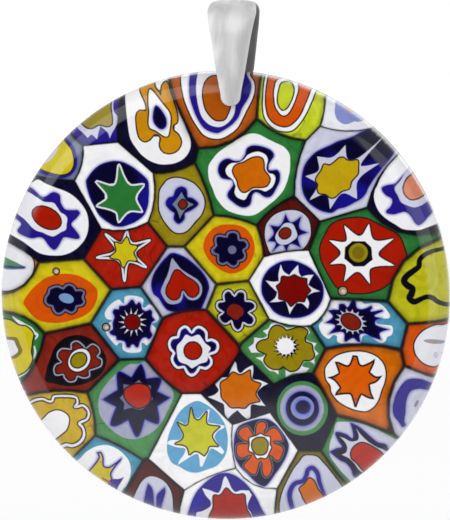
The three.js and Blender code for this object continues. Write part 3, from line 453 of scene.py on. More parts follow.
         "3.6,-5.1 3.8,-4.85 3.2,-4.75 2.6,-4.75! 2.35,-4.3! 2.8,-3.9 2.85,-3.4! 3.6,-3.45 4,-3.2 3.6,-2.8! "
         "4.1,-2.6"),
        ("olive", "4.9,-2.35 5.35,-2.5 5.7,-2.8 6.1,-2.7 6.7,-2.5 7.3,-2.6 7.55,-2.9 7.3,-3.4 7.4,-3.8 7.9,-4 8,-4.5 "
         "8.15,-4.9 7.9,-5.3 7.2,-5.4 7,-5.7 6.7,-6.15 6.1,-6.35 5.7,-6.15 5.4,-5.9 5.1,-6.15 4.5,-6.15 4,-5.85 "
         "3.75,-5.4 4,-4.9 3.6,-4.7 3.2,-4.5 3.1,-4.1 3.4,-3.75 4.1,-3.5 4.2,-3 4.5,-2.5", "k"),
        ("ink", burst(5.68, -4.2, 15, 1.25, 0.92, 0.95, 5, 0.2)),
        ("white", burst(5.62, -4.15, 15, 0.98, 0.74, 1.0, 5, 0.2))]),
    "murrina_mustard_edge": ("mustard", 0.08, [
        ("milk", stroke("-18.6,-10.4 -17.6,-9.8 -16.9,-9.35 -16.1,-9.15 -15.5,-9.35 -15.2,-9.3 -15.1,-8.95 -14.8,-8.85 "
                        "-13.4,-8.85 -13,-9 -12.95,-9.5 -13.2,-9.8 -12.9,-9.78 -12.5,-9.65 -12.1,-9.9 -11.9,-10.4 "
                        "-12.1,-10.9 -12.5,-11.1 -12.8,-11.3 -12.5,-11.6 -12.35,-12.1 -12.45,-12.6 -12.9,-13.1 "
                        "-13.5,-13.35 -14,-13.3 -14.6,-13.6 -15.4,-14.2", 0.16, 0.2, 0.17, 0.17, 0.2, 0.24, 0.3), "k"),
        ("white", "-16.9,-11.9! -16.3,-11.2 -15.9,-10.8 -15.5,-10.4 -14.8,-10.15 -14.2,-10.3 -13.75,-10.7 "
         "-13.75,-11.3 -14,-11.9 -14.7,-12.5 -15.2,-12.95 -16,-13.8! -17.2,-13!", "k")]),
    "murrina_violet_star": ("fern", 0.08, [
        ("mist", "-7.6,-5.9 -6.9,-5.65 -6.3,-6.1 -5.5,-7 -4.7,-7.8 -4.35,-8.4 -4.4,-9 -4.9,-10.1 -5.5,-11.2 -6.3,-12 "
         "-7.3,-12.5 -8.3,-12.6 -9.2,-12.3 -10.1,-11.6 -10.7,-10.9 -11,-10.2 -11.05,-9.3 -10.9,-8.6 -10.4,-7.8 "
         "-9.7,-7 -8.8,-6.3 -8.2,-5.9"),
        ("navy", "-7.25,-5.85 -6.95,-6.3 -6.75,-7.15! -5.6,-7.05 -5.4,-7.35 -5.75,-8.3! -4.6,-8.85! -5.75,-9.65! "
         "-5.6,-11 -5.8,-11.25 -6.9,-10.85! -7.4,-12.3 -7.75,-12.4 -8.4,-10.95! -9.6,-11.5 -10,-11.3 -9.5,-9.75! "
         "-10.75,-9.1! -9.35,-8.2! -9.4,-6.8 -9.1,-6.55 -8.1,-7.05!", "g"),
        ("slate", "-8.8,-7.7! -8.1,-7.75 -7.4,-7.3! -7,-7.7 -6.35,-7.8! -6.35,-8.5 -6.2,-9! -6.6,-9.4 -7,-9.85 "
         "-7.5,-9.95 -8.1,-9.8 -8.8,-10! -8.75,-9.4 -9.15,-8.95! -8.8,-8.5"),
        ("scarlet", "-8.65,-8.2 -8.1,-7.85 -7.45,-7.65 -6.85,-7.8 -6.5,-8.1 -6.4,-8.8 -6.55,-9.3 -7,-9.65 -7.5,-9.78 "
         "-8,-9.6 -8.45,-9.2 -8.7,-8.75", "k")]),
    "murrina_orange_star": ("orange", 0.12, [
        ("white", "9.15,-6.2 9.4,-5.7 10,-5.1 10.8,-4.75 11.8,-4.6 12.7,-4.65 13.6,-5 14.2,-5.6 14.45,-6.3 14.4,-7.1 "
         "14.1,-8 13.8,-8.9 13.4,-9.5 12.8,-9.85 12.2,-9.85 11.2,-9.55 10.3,-9 9.7,-8.2 9.6,-7.6 9.25,-7.1", "k"),
        ("ink", "11.55,-4.9! 12,-4.95! 12.3,-5.75 12.9,-5.6 13.55,-5.2! 13.45,-5.7 13.12,-6.4! 13.6,-6.75 14.22,-6.7! "
         "13.7,-7.3 13.1,-7.55! 13.25,-8.3 13.5,-8.85! 12.9,-8.75 12.35,-8.45! 12.1,-9 11.9,-9.55! 11.72,-9.55! "
         "11.5,-8.8 11.3,-8.42 9.98,-8.52! 10.1,-8.2 10.4,-7.8! 9.9,-7.2 9.3,-6.9! 9.8,-6.75 10.3,-6.5! 10.15,-6 "
         "9.95,-5.5! 10.3,-5.5 11.15,-5.78"),
        ("flame", 0.17)]),
    "murrina_target": ("navy", 0.08, [
        ("fern", ellipse(7.12, -9.68, 2.27, 2.42)),
        ("mist", ellipse(7.08, -9.67, 1.93, 2.05)),
        ("navy", ellipse(7.12, -9.7, 1.48, 1.56), "g"),
        ("periwinkle", ellipse(7.12, -9.63, 1.03)),
        ("navy", ellipse(7.17, -9.57, 0.66, 0.63), "g")]),
    "murrina_orange_sun": ("navy", 0.06, [
        ("milk", "1.1,-5.5! 1.25,-5.7 1.35,-6.3 1.6,-6.6 2.1,-6.2 2.75,-5.85! 2.75,-6.5 2.7,-7.1 3.3,-7.2 4.05,-7.5! "
         "3.5,-7.85 3.1,-8.3 3.45,-9 3.85,-9.5! 3.3,-9.45 2.6,-9.4 2.5,-10.5! 2.3,-10.75! 1.85,-10.4 1.35,-9.9! "
         "0.85,-10.3 0.5,-10.7! 0.25,-10.3 0.15,-9.4 -0.3,-9.15 -1.25,-8.75! -0.7,-8.55 -0.3,-8.15 -0.6,-7.6 "
         "-0.75,-7.2! -0.3,-7 0.5,-6.95 0.7,-6.5"),
        ("orange", "0.95,-6.55 1.6,-6.8 2.45,-6.35! 2.6,-7.2 3.4,-7.55! 2.95,-8.4 3.3,-9.05! 2.4,-9.3 2,-9.68 "
         "1.5,-9.62 0.8,-9.62 0.4,-9.2 0,-8.8 -0.05,-8.2 -0.1,-7.5 0.5,-7.1", "k")]),
    "murrina_violet_crescent": ("lilac", 0.08, [
        ("cobalt", "15.1,-9.5 15.3,-8.6 15.7,-7.8 16.3,-7.1 16.9,-6.95 17.6,-7.05 18.3,-7.4 18.9,-7.9! 18.4,-8.3! "
         "17.8,-8 17.2,-7.95 16.7,-8.1 16.4,-8.6 16.25,-9.3 16.2,-10.1 16.1,-10.8 16.2,-11.3 15.9,-11.4 15.6,-10.9 "
         "15.2,-10.3"),
        ("grey", ellipse(17.15, -9.3, 0.35, 0.14, 65))]),
    "murrina_yellow_crown": ("teal", 0.06, [
        ("white", "-13.8,-15.2! -12.9,-14.6 -12.3,-13.95 -11.6,-13.45 -10.8,-13.2 -10.2,-13.2 -9.5,-13.45 -8.9,-13.9 "
         "-8.4,-14.5 -8.2,-15.2 -8.25,-16 -8.6,-16.8 -9.1,-17.4 -9.6,-18.6! -13,-16.6!"),
        ("cobalt", "-12.4,-16! -11.1,-14.35 -11.25,-13.85! -10.85,-13.8 -10.62,-14.3 -10.6,-15.05 -10.2,-15.15 "
         "-9.7,-14.85 -9,-14.3! -9.05,-14.55 -9.6,-15.2 -9.95,-15.8 -9.9,-16.3 -10.1,-17.6! -12.6,-17!"),
        ("yellow", 0.15),
        ("violet", "-10.3,-16.6 -9.9,-16.3 -9.3,-16.25 -8.8,-16.05! -9.2,-16.7 -9.6,-17.4 -9.8,-18! -10.6,-17.5!"),
        ("rust", ellipse(-10.5, -16.5, 0.5, 0.12, -30))]),
    "murrina_sky_star": ("white", 0.03, [
        ("sky", "-4.95,-13.2 -4.8,-12.2 -4.4,-11.2 -4,-10.4 -3.5,-9.8 -2.9,-9.35 -2.2,-9.1 -1.5,-9.35 -0.9,-9.75 "
         "-0.3,-10.3 0.2,-11.1 0.45,-12 0.5,-12.8 0.4,-13.6 0.05,-14.3 -0.5,-14.9 -1.2,-15.2 -2,-15.5 -2.6,-15.55 "
         "-3.2,-15.4 -3.9,-15 -4.5,-14.7 -4.85,-14"),
        ("white", "-2.75,-9.55! -2.65,-10.2 -2.3,-10.65 -2,-10.6 -1.6,-10.1 -1.12,-9.85! -1.2,-10.5 -1.25,-11.02 "
         "-0.6,-11.15 0.2,-11.3! 0.15,-11.5 -0.4,-11.8 -0.7,-12.3 -0.4,-12.9 0.15,-13.6 0,-13.85 -0.6,-13.5 "
         "-1,-13.35 -1.3,-13.9 -1.8,-15! -2,-15! -2.05,-14.3 -2.2,-13.85 -2.8,-14.1 -3.95,-14.85! -3.85,-14.5 "
         "-3.4,-13.9 -3.3,-13.4 -4,-13.3 -4.9,-13! -4.85,-12.8 -4.5,-12.65 -3.8,-12.6 -3.55,-12.2 -3.8,-11.6 "
         "-4.05,-10.95! -3.7,-11 -3.3,-11.25 -3.1,-11 -2.95,-10.2"),
        ("sun", "-2.75,-9.75! -2.6,-10.5 -2.3,-10.85 -1.95,-10.8 -1.4,-10.1! -1.45,-10.9 -1.3,-11.25 -0.25,-11.4! "
         "-0.7,-11.8 -0.95,-12.2 -0.75,-12.7 -0.38,-13.12! -1.2,-13.15 -1.35,-13.6 -1.6,-13.98! -2.1,-13.65 "
         "-2.5,-13.6 -2.92,-13.92! -3.05,-13.4 -3.3,-13.1 -4.18,-12.97! -3.6,-12.65 -3.4,-12.2 -3.6,-11.7 "
         "-3.97,-11.08! -3.3,-11.4 -3,-11.2 -2.9,-10.6", "k")]),
    "murrina_orange_petals": ("white", 0.03, [
        ("navy", "1.05,-12.5 1.2,-11.8 1.5,-11.3 2.2,-10.95 3,-10.7 3.9,-10.65 4.5,-10.9 5.1,-11.5 5.6,-12.2 "
         "5.9,-12.9 5.85,-13.5 5.6,-14.2 5.2,-14.9 4.7,-15.6 4.3,-16.2 3.8,-16.7 3.4,-16.65 2.9,-16.3 2.2,-15.6 "
         "1.6,-15 1.15,-14.2 1,-13.4", "g"),
        ("mist", "3.5,-10.8 3.95,-10.95 4.02,-11.4 3.8,-11.85! 4.15,-11.5 4.6,-11.32 5.05,-11.6 5.45,-12.4 "
         "5.35,-12.7 4.6,-12.72! 5,-12.85 5.48,-13.15 5.48,-13.7 5.15,-14.4 4.8,-14.5 4.25,-14! 4.48,-14.7 "
         "4.48,-15.3 4.2,-15.82 3.8,-15.97 3.5,-15.6 3.4,-14.55! 3.22,-15.2 3,-15.72 2.55,-15.7 1.85,-15.1 "
         "1.8,-14.8 2.1,-14.4 2.5,-14! 1.65,-14.32 1.25,-14 1.15,-13.4 1.25,-12.95 1.7,-12.8 2.25,-12.8! "
         "1.75,-12.6 1.35,-12.1 1.38,-11.7 1.8,-11.36 2.3,-11.27 2.6,-11.6 2.85,-12.05! 2.9,-11.4 3.1,-10.95"),
        ("coral", 0.15, "k"),
        ("white", "2.45,-12.4 3.05,-12.2 3.4,-12! 3.75,-12.2 4.2,-12.3 4.2,-12.9 4.35,-13.2! 4.1,-13.7 3.85,-14.15 "
         "3.4,-14.1 3.1,-14.2 2.8,-13.7 2.4,-13.5 2.45,-12.9", "k"),
        ("olive", "2.7,-12.7 3.1,-12.4 3.7,-12.4 4,-12.75 4,-13.2 3.8,-13.7 3.4,-13.85 3,-13.75 2.7,-13.3", "k")]),
    "murrina_blue_red_edge": ("white", 0.03, [
        ("cobalt", "-3.6,-21! -3.3,-19.7 -2.8,-18.3 -2.4,-17.4 -1.8,-16.7 -1,-16 -0.2,-15.6 0.5,-15.55 1.2,-15.8 "
         "2,-16.4 2.6,-17.1 3.1,-17.9 3.4,-18.7 3.7,-19.5 3.8,-21!", "g"),
        ("milk", "-2.6,-21! -2.4,-19.3 -1.9,-19.1 -1.1,-18.6 -1,-18.2 -1.5,-17.6 -1.8,-16.95! -1.2,-17.1 -0.4,-17.35 "
         "-0.15,-17 0.1,-16.1 0.25,-15.85 0.45,-16.1 0.8,-16.9 1.15,-17.25 1.6,-17.1 2.35,-17.1! 2.6,-17.5! "
         "2.3,-18.2 2.2,-18.7 2.5,-19.3 2.6,-21!"),
        ("red", "-1.6,-21! -1.2,-19.5 -0.8,-18.7 -0.8,-18 -0.75,-17.6 -0.3,-17.65 0,-17.4 0.35,-16.95 0.8,-17.4 "
         "1.3,-17.55 1.9,-17.5 2,-18.2 2.1,-18.9 2.35,-19.5 2.3,-21!", "k")]),
    "murrina_twin_leaves": ("maroon", 0.12, [
        ("lilac", "-8.8,-19.2! -8,-17.9 -7.6,-17.1 -7.1,-16.3 -6.5,-15.95 -5.9,-16 -5.2,-16.4 -4.75,-17 -4.5,-17.8 "
         "-4.5,-18.6 -4.6,-20.6!", "k"),
        ("cobalt", "-7.5,-19.6! -7.1,-18.2 -6.85,-17.2 -6.65,-16.6! -6.35,-16.9 -6.2,-17.4 -6.2,-18.2 -6.3,-19.9!"),
        ("cobalt", "-6.2,-20! -6,-18.4 -5.9,-17.7 -5.5,-17.2 -5.15,-16.9! -5.1,-17.3 -5.3,-18 -5.6,-19 -5.7,-20.2!")]),
    "murrina_red_zigzag": ("fern", 0.08, [
        ("lilac", "10.1,-10.95 10.5,-10.85 11.2,-10.85 12.2,-10.95 13.2,-11.3 14.2,-11.8 15,-12.3 16.2,-13.2! "
         "12,-17.5! 11.2,-16.2 10.6,-15.4 10,-14.6 9.6,-14 9.5,-13.4 9.6,-12.6 9.9,-11.8"),
        ("navy", "9.5,-13.55! 10.2,-13.2 10.6,-13.1 10.3,-12.6 10,-11.9 10.15,-11.75 11,-11.95 11.55,-12.3 "
         "11.55,-11.7 11.35,-10.95! 11.6,-11 12.3,-11.4 13.1,-12.1 13.8,-12.7 14.4,-12.9 14.6,-13.2 14.8,-14! "
         "12.3,-16.4! 11.6,-15.9 11.4,-15.2 11,-14.6 10.4,-14.3", "g"),
        ("lilac", "10.6,-13.8! 11,-13.6 11.1,-13.2 10.9,-12.7 10.45,-12.2! 10.9,-12.35 11.4,-12.6 12,-12.5 12.1,-12.1 "
         "11.9,-11.5! 12.3,-12 12.9,-12.6 13.6,-13.1 14.3,-13.5 14.9,-14.3! 12.8,-16! 12.1,-15.3 11.7,-14.6 "
         "11.2,-14.1"),
        ("scarlet", "11.45,-13.6 11.7,-13.1 12.3,-12.75 12.8,-12.85 13.4,-13.2 13.9,-13.6 14.4,-14.5! 12.9,-16! "
         "12.3,-15.1 11.9,-14.5 11.5,-14.1", "k")]),
    "murrina_wavy_line": ("moss", 0.08, [
        ("lilac", "4.9,-20.6! 5,-19.2 5.1,-18.2 5.35,-17.2 5.8,-16.2 6.3,-15.2 6.9,-14.4 7.3,-13.95 7.9,-13.9 "
         "8.4,-14 8.9,-14.5 9.5,-15.2 10,-15.9 10.4,-16.6 11,-18!", "k"),
        ("cobalt", stroke("6.2,-20 6.1,-18.7 5.95,-17.6 6.1,-16.9 6.5,-16.4 7.15,-16.2 7.45,-15.7 7.6,-15.2 8,-15 "
                          "8.45,-15.5 8.6,-16.3 8.85,-17.1 9.2,-18.4", 0.4, 0.42, 0.42, 0.4, 0.4, 0.34, 0.2)),
        ("orange", "7,-17.3 6.85,-16.9 7.3,-16.5 7.75,-15.95 8.1,-16.2 8.4,-16.9 8.8,-17.7 8.7,-18.1 7.6,-18.6 "
         "7.2,-17.9", "k")]),
}

# Small bubbles caught under the surface: slice, centre and radius. Their dark rims and pale off-centre spots are
# painted shade and a painted highlight.
BUBBLES = (
    ("murrina_orange_flower_left", -14.8, 2.3, 0.24),
    ("murrina_white_star", 10.68, 0.78, 0.36),
    ("murrina_blue_gear", -10.33, -2.62, 0.28),
)
for name, x, z, size in BUBBLES:
    # Each bubble: a tan disc with a dark rim of painted shade, then a paler spot set off-centre as a painted highlight.
    PATTERNS[name][2].append(("tan", ellipse(x, z, size), "k"))
    PATTERNS[name][2].append(("lilac", ellipse(x + size * 0.15, z - size * 0.1, size * 0.5)))


def front_y(r):
    t = np.clip((r - RADIUS + SHOULDER_WIDTH) / SHOULDER_WIDTH, 0, 1)
    y = -HALF_THICK + SHOULDER_DEPTH * (1 - np.sqrt(1 - t**2))
    lift = DOME_RISE * (TIP_REACH**2 - r**2) / RADIUS**2
    return y - np.maximum(0, -y / HALF_THICK) * lift


def back_y(r):
    t = np.clip((r - RADIUS + BACK_ROUNDING) / BACK_ROUNDING, 0, 1)
    return HALF_THICK - BACK_ROUNDING * (1 - np.sqrt(1 - t**2))


# Outward normals of a surface of revolution about the disc's axis; side is -1 in front.
def turned_normals(points, profile, side):
    r = np.hypot(points[:, 0], points[:, 1])
    inner = np.minimum(r, RADIUS - 0.003)
    slope = (profile(inner + 0.001) - profile(inner - 0.001)) / 0.002
    unit = points / np.maximum(r, 1e-6)[:, None]
    normals = np.stack([-side * slope * unit[:, 0], np.full(len(r), float(side)), -side * slope * unit[:, 1]], 1)
    return normals / np.linalg.norm(normals, axis=1)[:, None]


def inside(points, loop):
    nxt = np.roll(loop, -1, 0)
    px, pz = points[:, 0][:, None], points[:, 1][:, None]
    crosses = (loop[:, 1] > pz) != (nxt[:, 1] > pz)
    rise = np.where(nxt[:, 1] == loop[:, 1], 1e-12, nxt[:, 1] - loop[:, 1])
    at = loop[:, 0] + (pz - loop[:, 1]) * (nxt[:, 0] - loop[:, 0]) / rise
    return (crosses & (px < at)).sum(1) % 2 == 1


def distance(points, starts, ends):
    out = np.full(len(points), 1e3)
    along = ends - starts
    square = np.maximum((along**2).sum(1), 1e-12)
    for first in range(0, len(points), 2000):
        block = points[first:first + 2000, None, :] - starts
        t = np.clip((block * along).sum(2) / square, 0, 1)
        out[first:first + 2000] = np.sqrt((((block - t[:, :, None] * along)) ** 2).sum(2)).min(1)
    return out


def signed(points, loop):
    gap = distance(points, loop, np.roll(loop, -1, 0))
    return np.where(inside(points, loop), gap, -gap)


# The loops that bound the front of a CAD slice, right and up from the centre of the disc. The
# faces are kept in the mesh's own order, so that each run starts a loop at the same point.
def front_loops(obj):
    bm = bmesh.new()
    bm.from_mesh(obj.data)
    bm.transform(obj.matrix_world)
    bmesh.ops.remove_doubles(bm, verts=bm.verts, dist=1e-6)
    bm.normal_update()
    front = dict.fromkeys(face for face in bm.faces if face.normal.y < -0.02)
    following = {}
    for face in front:
        for loop in face.loops:
            if not any(other in front for other in loop.edge.link_faces if other is not face):
                following[loop.vert] = loop.link_loop_next.vert
    loops = []
    while following:
        start = next(iter(following))
        points, vert = [], start
        while vert in following:
            points.append((vert.co.x / MM - CENTRE_X, vert.co.z / MM - CENTRE_Z))
            vert = following.pop(vert)
        loops.append(np.array(points))
    bm.free()
    loops.sort(key=lambda loop: -np.ptp(loop, 0).max())
    return loops


# Rim points move out to the true circle, with three more between each pair.
def round_rim(loop):
    out = []
    radii = np.hypot(loop[:, 0], loop[:, 1])
    for i, point in enumerate(loop):
        on_rim = radii[i] > RADIUS - ON_RIM
        out.append(point * (RADIUS / radii[i] if on_rim else 1))
        j = (i + 1) % len(loop)
        if on_rim and radii[j] > RADIUS - ON_RIM:
            a, b = math.atan2(point[1], point[0]), math.atan2(loop[j][1], loop[j][0])
            turn = (b - a + math.pi) % (2 * math.pi) - math.pi
            for k in (1, 2, 3):
                t = a + turn * k / 4
                out.append(np.array([RADIUS * math.cos(t), RADIUS * math.sin(t)]))
    return np.array(out)


# An even grid of points inside a slice, and rings of them where the rim curves away.
def filling(outline, seams):
    low, high = outline.min(0), outline.max(0)
    points = []
    row = 0
    z = math.floor(low[1] / GRID_STEP) * GRID_STEP
    while z < high[1]:
        xs = np.arange(math.floor(low[0] / GRID_STEP), high[0] / GRID_STEP) * GRID_STEP + (row % 2) * GRID_STEP / 2
        points.append(np.stack([xs, np.full(len(xs), z)], 1))
        z += GRID_STEP * 0.87
        row += 1
    grid = np.concatenate(points)
    grid = grid[np.hypot(grid[:, 0], grid[:, 1]) < RING_RADII[0] - 0.15]
    rings = []
    for radius in RING_RADII:
        n = math.ceil(2 * math.pi * radius / RING_STEP)
        t = np.arange(n) * 2 * math.pi / n
        rings.append(np.stack([radius * np.cos(t), radius * np.sin(t)], 1))
    every = np.concatenate([grid, *rings])
    every = every[inside(every, outline)]
    return every[distance(every, *seams) > SEAM_CLEAR]


# Unit normals along a closed loop.
def sideways(loop):
    ahead = np.roll(loop, -1, 0) - np.roll(loop, 1, 0)
    ahead /= np.maximum(np.linalg.norm(ahead, axis=1), 1e-9)[:, None]
    return np.stack([-ahead[:, 1], ahead[:, 0]], 1)


# Points along the contour that lies a given depth inside a loop.
def inset_hints(loop, depth, outline):
    hints = []
    for side in (-1, 1) if depth else ():
        points = loop + side * depth * sideways(loop)
        points = points[inside(points, outline)]
        if len(points):
            hints += list(points[np.abs(signed(points, loop) - depth) < HINT_SLACK])
    return hints


# Points along the middle of strips that the even filling is too coarse for.
def narrow_hints(loop, outline):
    normal = sideways(loop)
    hints = []
    for side in (-1, 1):
        sign = 1.0 if np.median(signed(loop + side * 0.02 * normal, loop)) > 0 else -1.0
        best = np.zeros(len(loop))
        for depth in HINT_DEPTHS:
            fits = np.abs(signed(loop + side * depth * normal, loop) * sign - depth) < HINT_SLACK
            best = np.where(fits, depth, best)
        chosen = (best > 0) & (best < HINT_DEPTHS[-1])
        points = (loop + side * best[:, None] * normal)[chosen]
        if len(points):
            hints += list(points[inside(points, outline)])
    return hints


# The largest group of triangles that share edges, so that no sliver stands apart.
def largest_patch(faces):
    owners = {}
    for i, face in enumerate(faces):
        for k in range(3):
            owners.setdefault(frozenset((int(face[k]), int(face[(k + 1) % 3]))), []).append(i)
    beside = [[] for _ in faces]
    for pair in owners.values():
        if len(pair) == 2:
            beside[pair[0]].append(pair[1])
            beside[pair[1]].append(pair[0])
    seen, best = set(), []
    for start in range(len(faces)):
        if start in seen:
            continue
        seen.add(start)
        group = [start]
        for i in group:
            fresh = [j for j in beside[i] if j not in seen]
            seen.update(fresh)
            group += fresh
        best = max(best, group, key=len)
    return faces[sorted(best)]


# The triangles of a slice's face. Its edges and every drawn curve are kept as mesh edges.
def triangulate(outline, holes, shapes, seams):
    coords, edges = [], []

    def add_loop(loop, keep):
        start, count = len(coords), len(loop)
        coords.extend(loop)
        edges.extend((start + i, start + (i + 1) % count) for i in range(count) if keep[i] and keep[(i + 1) % count])

    for loop in (outline, *holes):
        add_loop(loop, [True] * len(loop))
    curve, narrow = None, []
    for shape in shapes:
        if isinstance(shape, (int, float)):
            coords += inset_hints(curve, shape, outline)
            continue
        curve = shape
        keep = inside(curve, outline)
        add_loop(curve, keep | np.roll(keep, 1) | np.roll(keep, -1))
        narrow += narrow_hints(curve, outline)
    coords += narrow + list(filling(outline, seams))
    flat, _, faces, *_ = geometry.delaunay_2d_cdt([Vector(p) for p in coords], edges, [], 0, WELD, False)
    flat = np.array([tuple(p) for p in flat])
    faces = np.array([f for f in faces if len(f) == 3])
    middles = flat[faces].mean(1)
    keep = inside(middles, outline)
    for hole in holes:
        keep &= ~inside(middles, hole)
    corners = flat[faces]
    a, b = corners[:, 1] - corners[:, 0], corners[:, 2] - corners[:, 0]
    area = a[:, 0] * b[:, 1] - a[:, 1] * b[:, 0]
    faces = np.where((area < 0)[:, None], faces[:, ::-1], faces)[keep & (np.abs(area) > 1e-9)]
    # Points within a micron of each other are one, and what folds flat between them goes.
    _, keeper, welded = np.unique(np.round(flat, 3), axis=0, return_index=True, return_inverse=True)
    flat, faces = flat[keeper], welded.reshape(-1)[faces]
    faces = largest_patch(faces[(np.diff(np.sort(faces, axis=1), axis=1) > 0).all(1)])
    used = np.unique(faces)
    renumber = np.full(len(flat), -1)
    renumber[used] = np.arange(len(used))
    return flat[used], renumber[faces]


# A closed slice: the same triangles in front and behind, with walls between them.
def slice_mesh(name, flat, faces):
    n = len(flat)
    r = np.minimum(np.hypot(flat[:, 0], flat[:, 1]), RADIUS)
    x, z = flat[:, 0] + CENTRE_X, flat[:, 1] + CENTRE_Z
    verts = np.concatenate([np.stack([x, front_y(r), z], 1), np.stack([x, back_y(r), z], 1)]) * MM
    directed = {(int(f[i]), int(f[(i + 1) % 3])) for f in faces for i in range(3)}
    border = sorted(e for e in directed if (e[1], e[0]) not in directed)
    polygons = [tuple(map(int, f)) for f in faces]
    polygons += [tuple(int(v) + n for v in f[::-1]) for f in faces]
    polygons += [(b, a, a + n, b + n) for a, b in border]
    mesh = bpy.data.meshes.new(name)
    mesh.from_pydata([tuple(v) for v in verts], [], polygons)
    front, back = turned_normals(flat, front_y, -1), turned_normals(flat, back_y, 1)
    normals = [front[v] for f in faces for v in f] + [back[v] for f in faces for v in f[::-1]]
    for a, b in border:
        if min(r[a], r[b]) > RADIUS - ON_RIM / 2:
            ends = [(flat[v][0] / RADIUS, 0.0, flat[v][1] / RADIUS) for v in (b, a)]
            normals += [ends[0], ends[1], ends[1], ends[0]]
        else:
            along = (flat[b] - flat[a]) / max(math.dist(flat[a], flat[b]), 1e-9)
            normals += [(along[1], 0.0, -along[0])] * 4
    mesh.shade_smooth()
    mesh.normals_split_custom_set([tuple(map(float, v)) for v in normals])
    return mesh


# A slice of cane. Its mesh carries the distance to each drawn curve and to the seams.
def build_slice(name, obj, layers):
    outline, *holes = [round_rim(loop) for loop in front_loops(obj)]
    following = np.roll(outline, -1, 0)
    is_seam = (np.hypot(*outline.T) < RADIUS - ON_RIM) | (np.hypot(*following.T) < RADIUS - ON_RIM)
    seams = (outline[is_seam], following[is_seam])
    shapes = [shape if isinstance(shape, (int, float)) else outline_of(shape) for _, shape, *_ in layers]
    flat, faces = triangulate(outline, holes, shapes, seams)
    mesh = slice_mesh(name, flat, faces)
    values = {"seam": distance(flat, *seams)}
    for k, shape in enumerate(shapes):
        if not isinstance(shape, (int, float)):
            values[f"d{k}"] = signed(flat, shape)
    for key, column in values.items():
        layer = mesh.attributes.new(key, "FLOAT", "POINT")
        layer.data.foreach_set("value", np.concatenate([column, column]).astype(np.float32))
    return mesh


class Nodes:
    """Short calls for building one material, or the world."""

    def __init__(self, owner, place="Object"):
        self.owner = owner
        owner.use_nodes = True
        self.tree = owner.node_tree
        self.tree.nodes.clear()
        self.place = self.add("ShaderNodeTexCoord").outputs[place]

    def add(self, kind, **settings):
        node = self.tree.nodes.new(kind)
        for key, value in settings.items():
            setattr(node, key, value)
        return node

    def put(self, socket, value):
        if isinstance(value, bpy.types.NodeSocket):
            self.tree.links.new(value, socket)
        else:
            socket.default_value = value

    def noise(self, scale, detail=2.0, stretch=None, distortion=0.0):
        node = self.add("ShaderNodeTexNoise")
        place = self.place
        if stretch:
            mapping = self.add("ShaderNodeMapping")
            mapping.inputs["Scale"].default_value = stretch
            self.put(mapping.inputs["Vector"], place)
            place = mapping.outputs["Vector"]
        self.put(node.inputs["Vector"], place)
        self.put(node.inputs["Scale"], scale)
        self.put(node.inputs["Detail"], detail)
        self.put(node.inputs["Distortion"], distortion)
        return node.outputs["Fac"]

    def math(self, operation, a, b):
        node = self.add("ShaderNodeMath", operation=operation)
        self.put(node.inputs[0], a)
        self.put(node.inputs[1], b)
        return node.outputs[0]

    def ramp(self, value, low, high, to_low=0.0, to_high=1.0):
        node = self.add("ShaderNodeMapRange", interpolation_type="SMOOTHSTEP")
        for key, number in zip(("Value", "From Min", "From Max", "To Min", "To Max"),
                               (value, low, high, to_low, to_high)):
            self.put(node.inputs[key], number)
        return node.outputs["Result"]

    def mix(self, factor, a, b, blend="MIX"):
        node = self.add("ShaderNodeMix", data_type="RGBA", blend_type=blend)
        self.put(node.inputs[0], factor)
        self.put(node.inputs[6], a)
        self.put(node.inputs[7], b)
        return node.outputs[2]

    def level(self, factor, a, b):
        node = self.add("ShaderNodeMix", data_type="FLOAT")
        for index, value in ((0, factor), (2, a), (3, b)):
            self.put(node.inputs[index], value)
        return node.outputs[0]

    def attribute(self, name):
        return self.add("ShaderNodeAttribute", attribute_name=name).outputs["Fac"]

    def finish(self, colour, roughness, bump, **constants):
        shader = self.add("ShaderNodeBsdfPrincipled")
        self.put(shader.inputs["Base Color"], colour)
        self.put(shader.inputs["Roughness"], roughness)
        for key, value in constants.items():
            shader.inputs[key.replace("_", " ")].default_value = value
        node = self.add("ShaderNodeBump")
        for key, value in zip(("Height", "Strength", "Distance"), bump):
            self.put(node.inputs[key], value)
        self.put(shader.inputs["Normal"], node.outputs["Normal"])
        self.put(self.add("ShaderNodeOutputMaterial").inputs["Surface"], shader.outputs["BSDF"])
        return self.owner


# A little darker than a colour, but hardly so on whites.
def shaded(colour):
    return tuple(c * (0.96 if min(colour) > 0.6 else 0.88) for c in colour[:3]) + (1.0,)


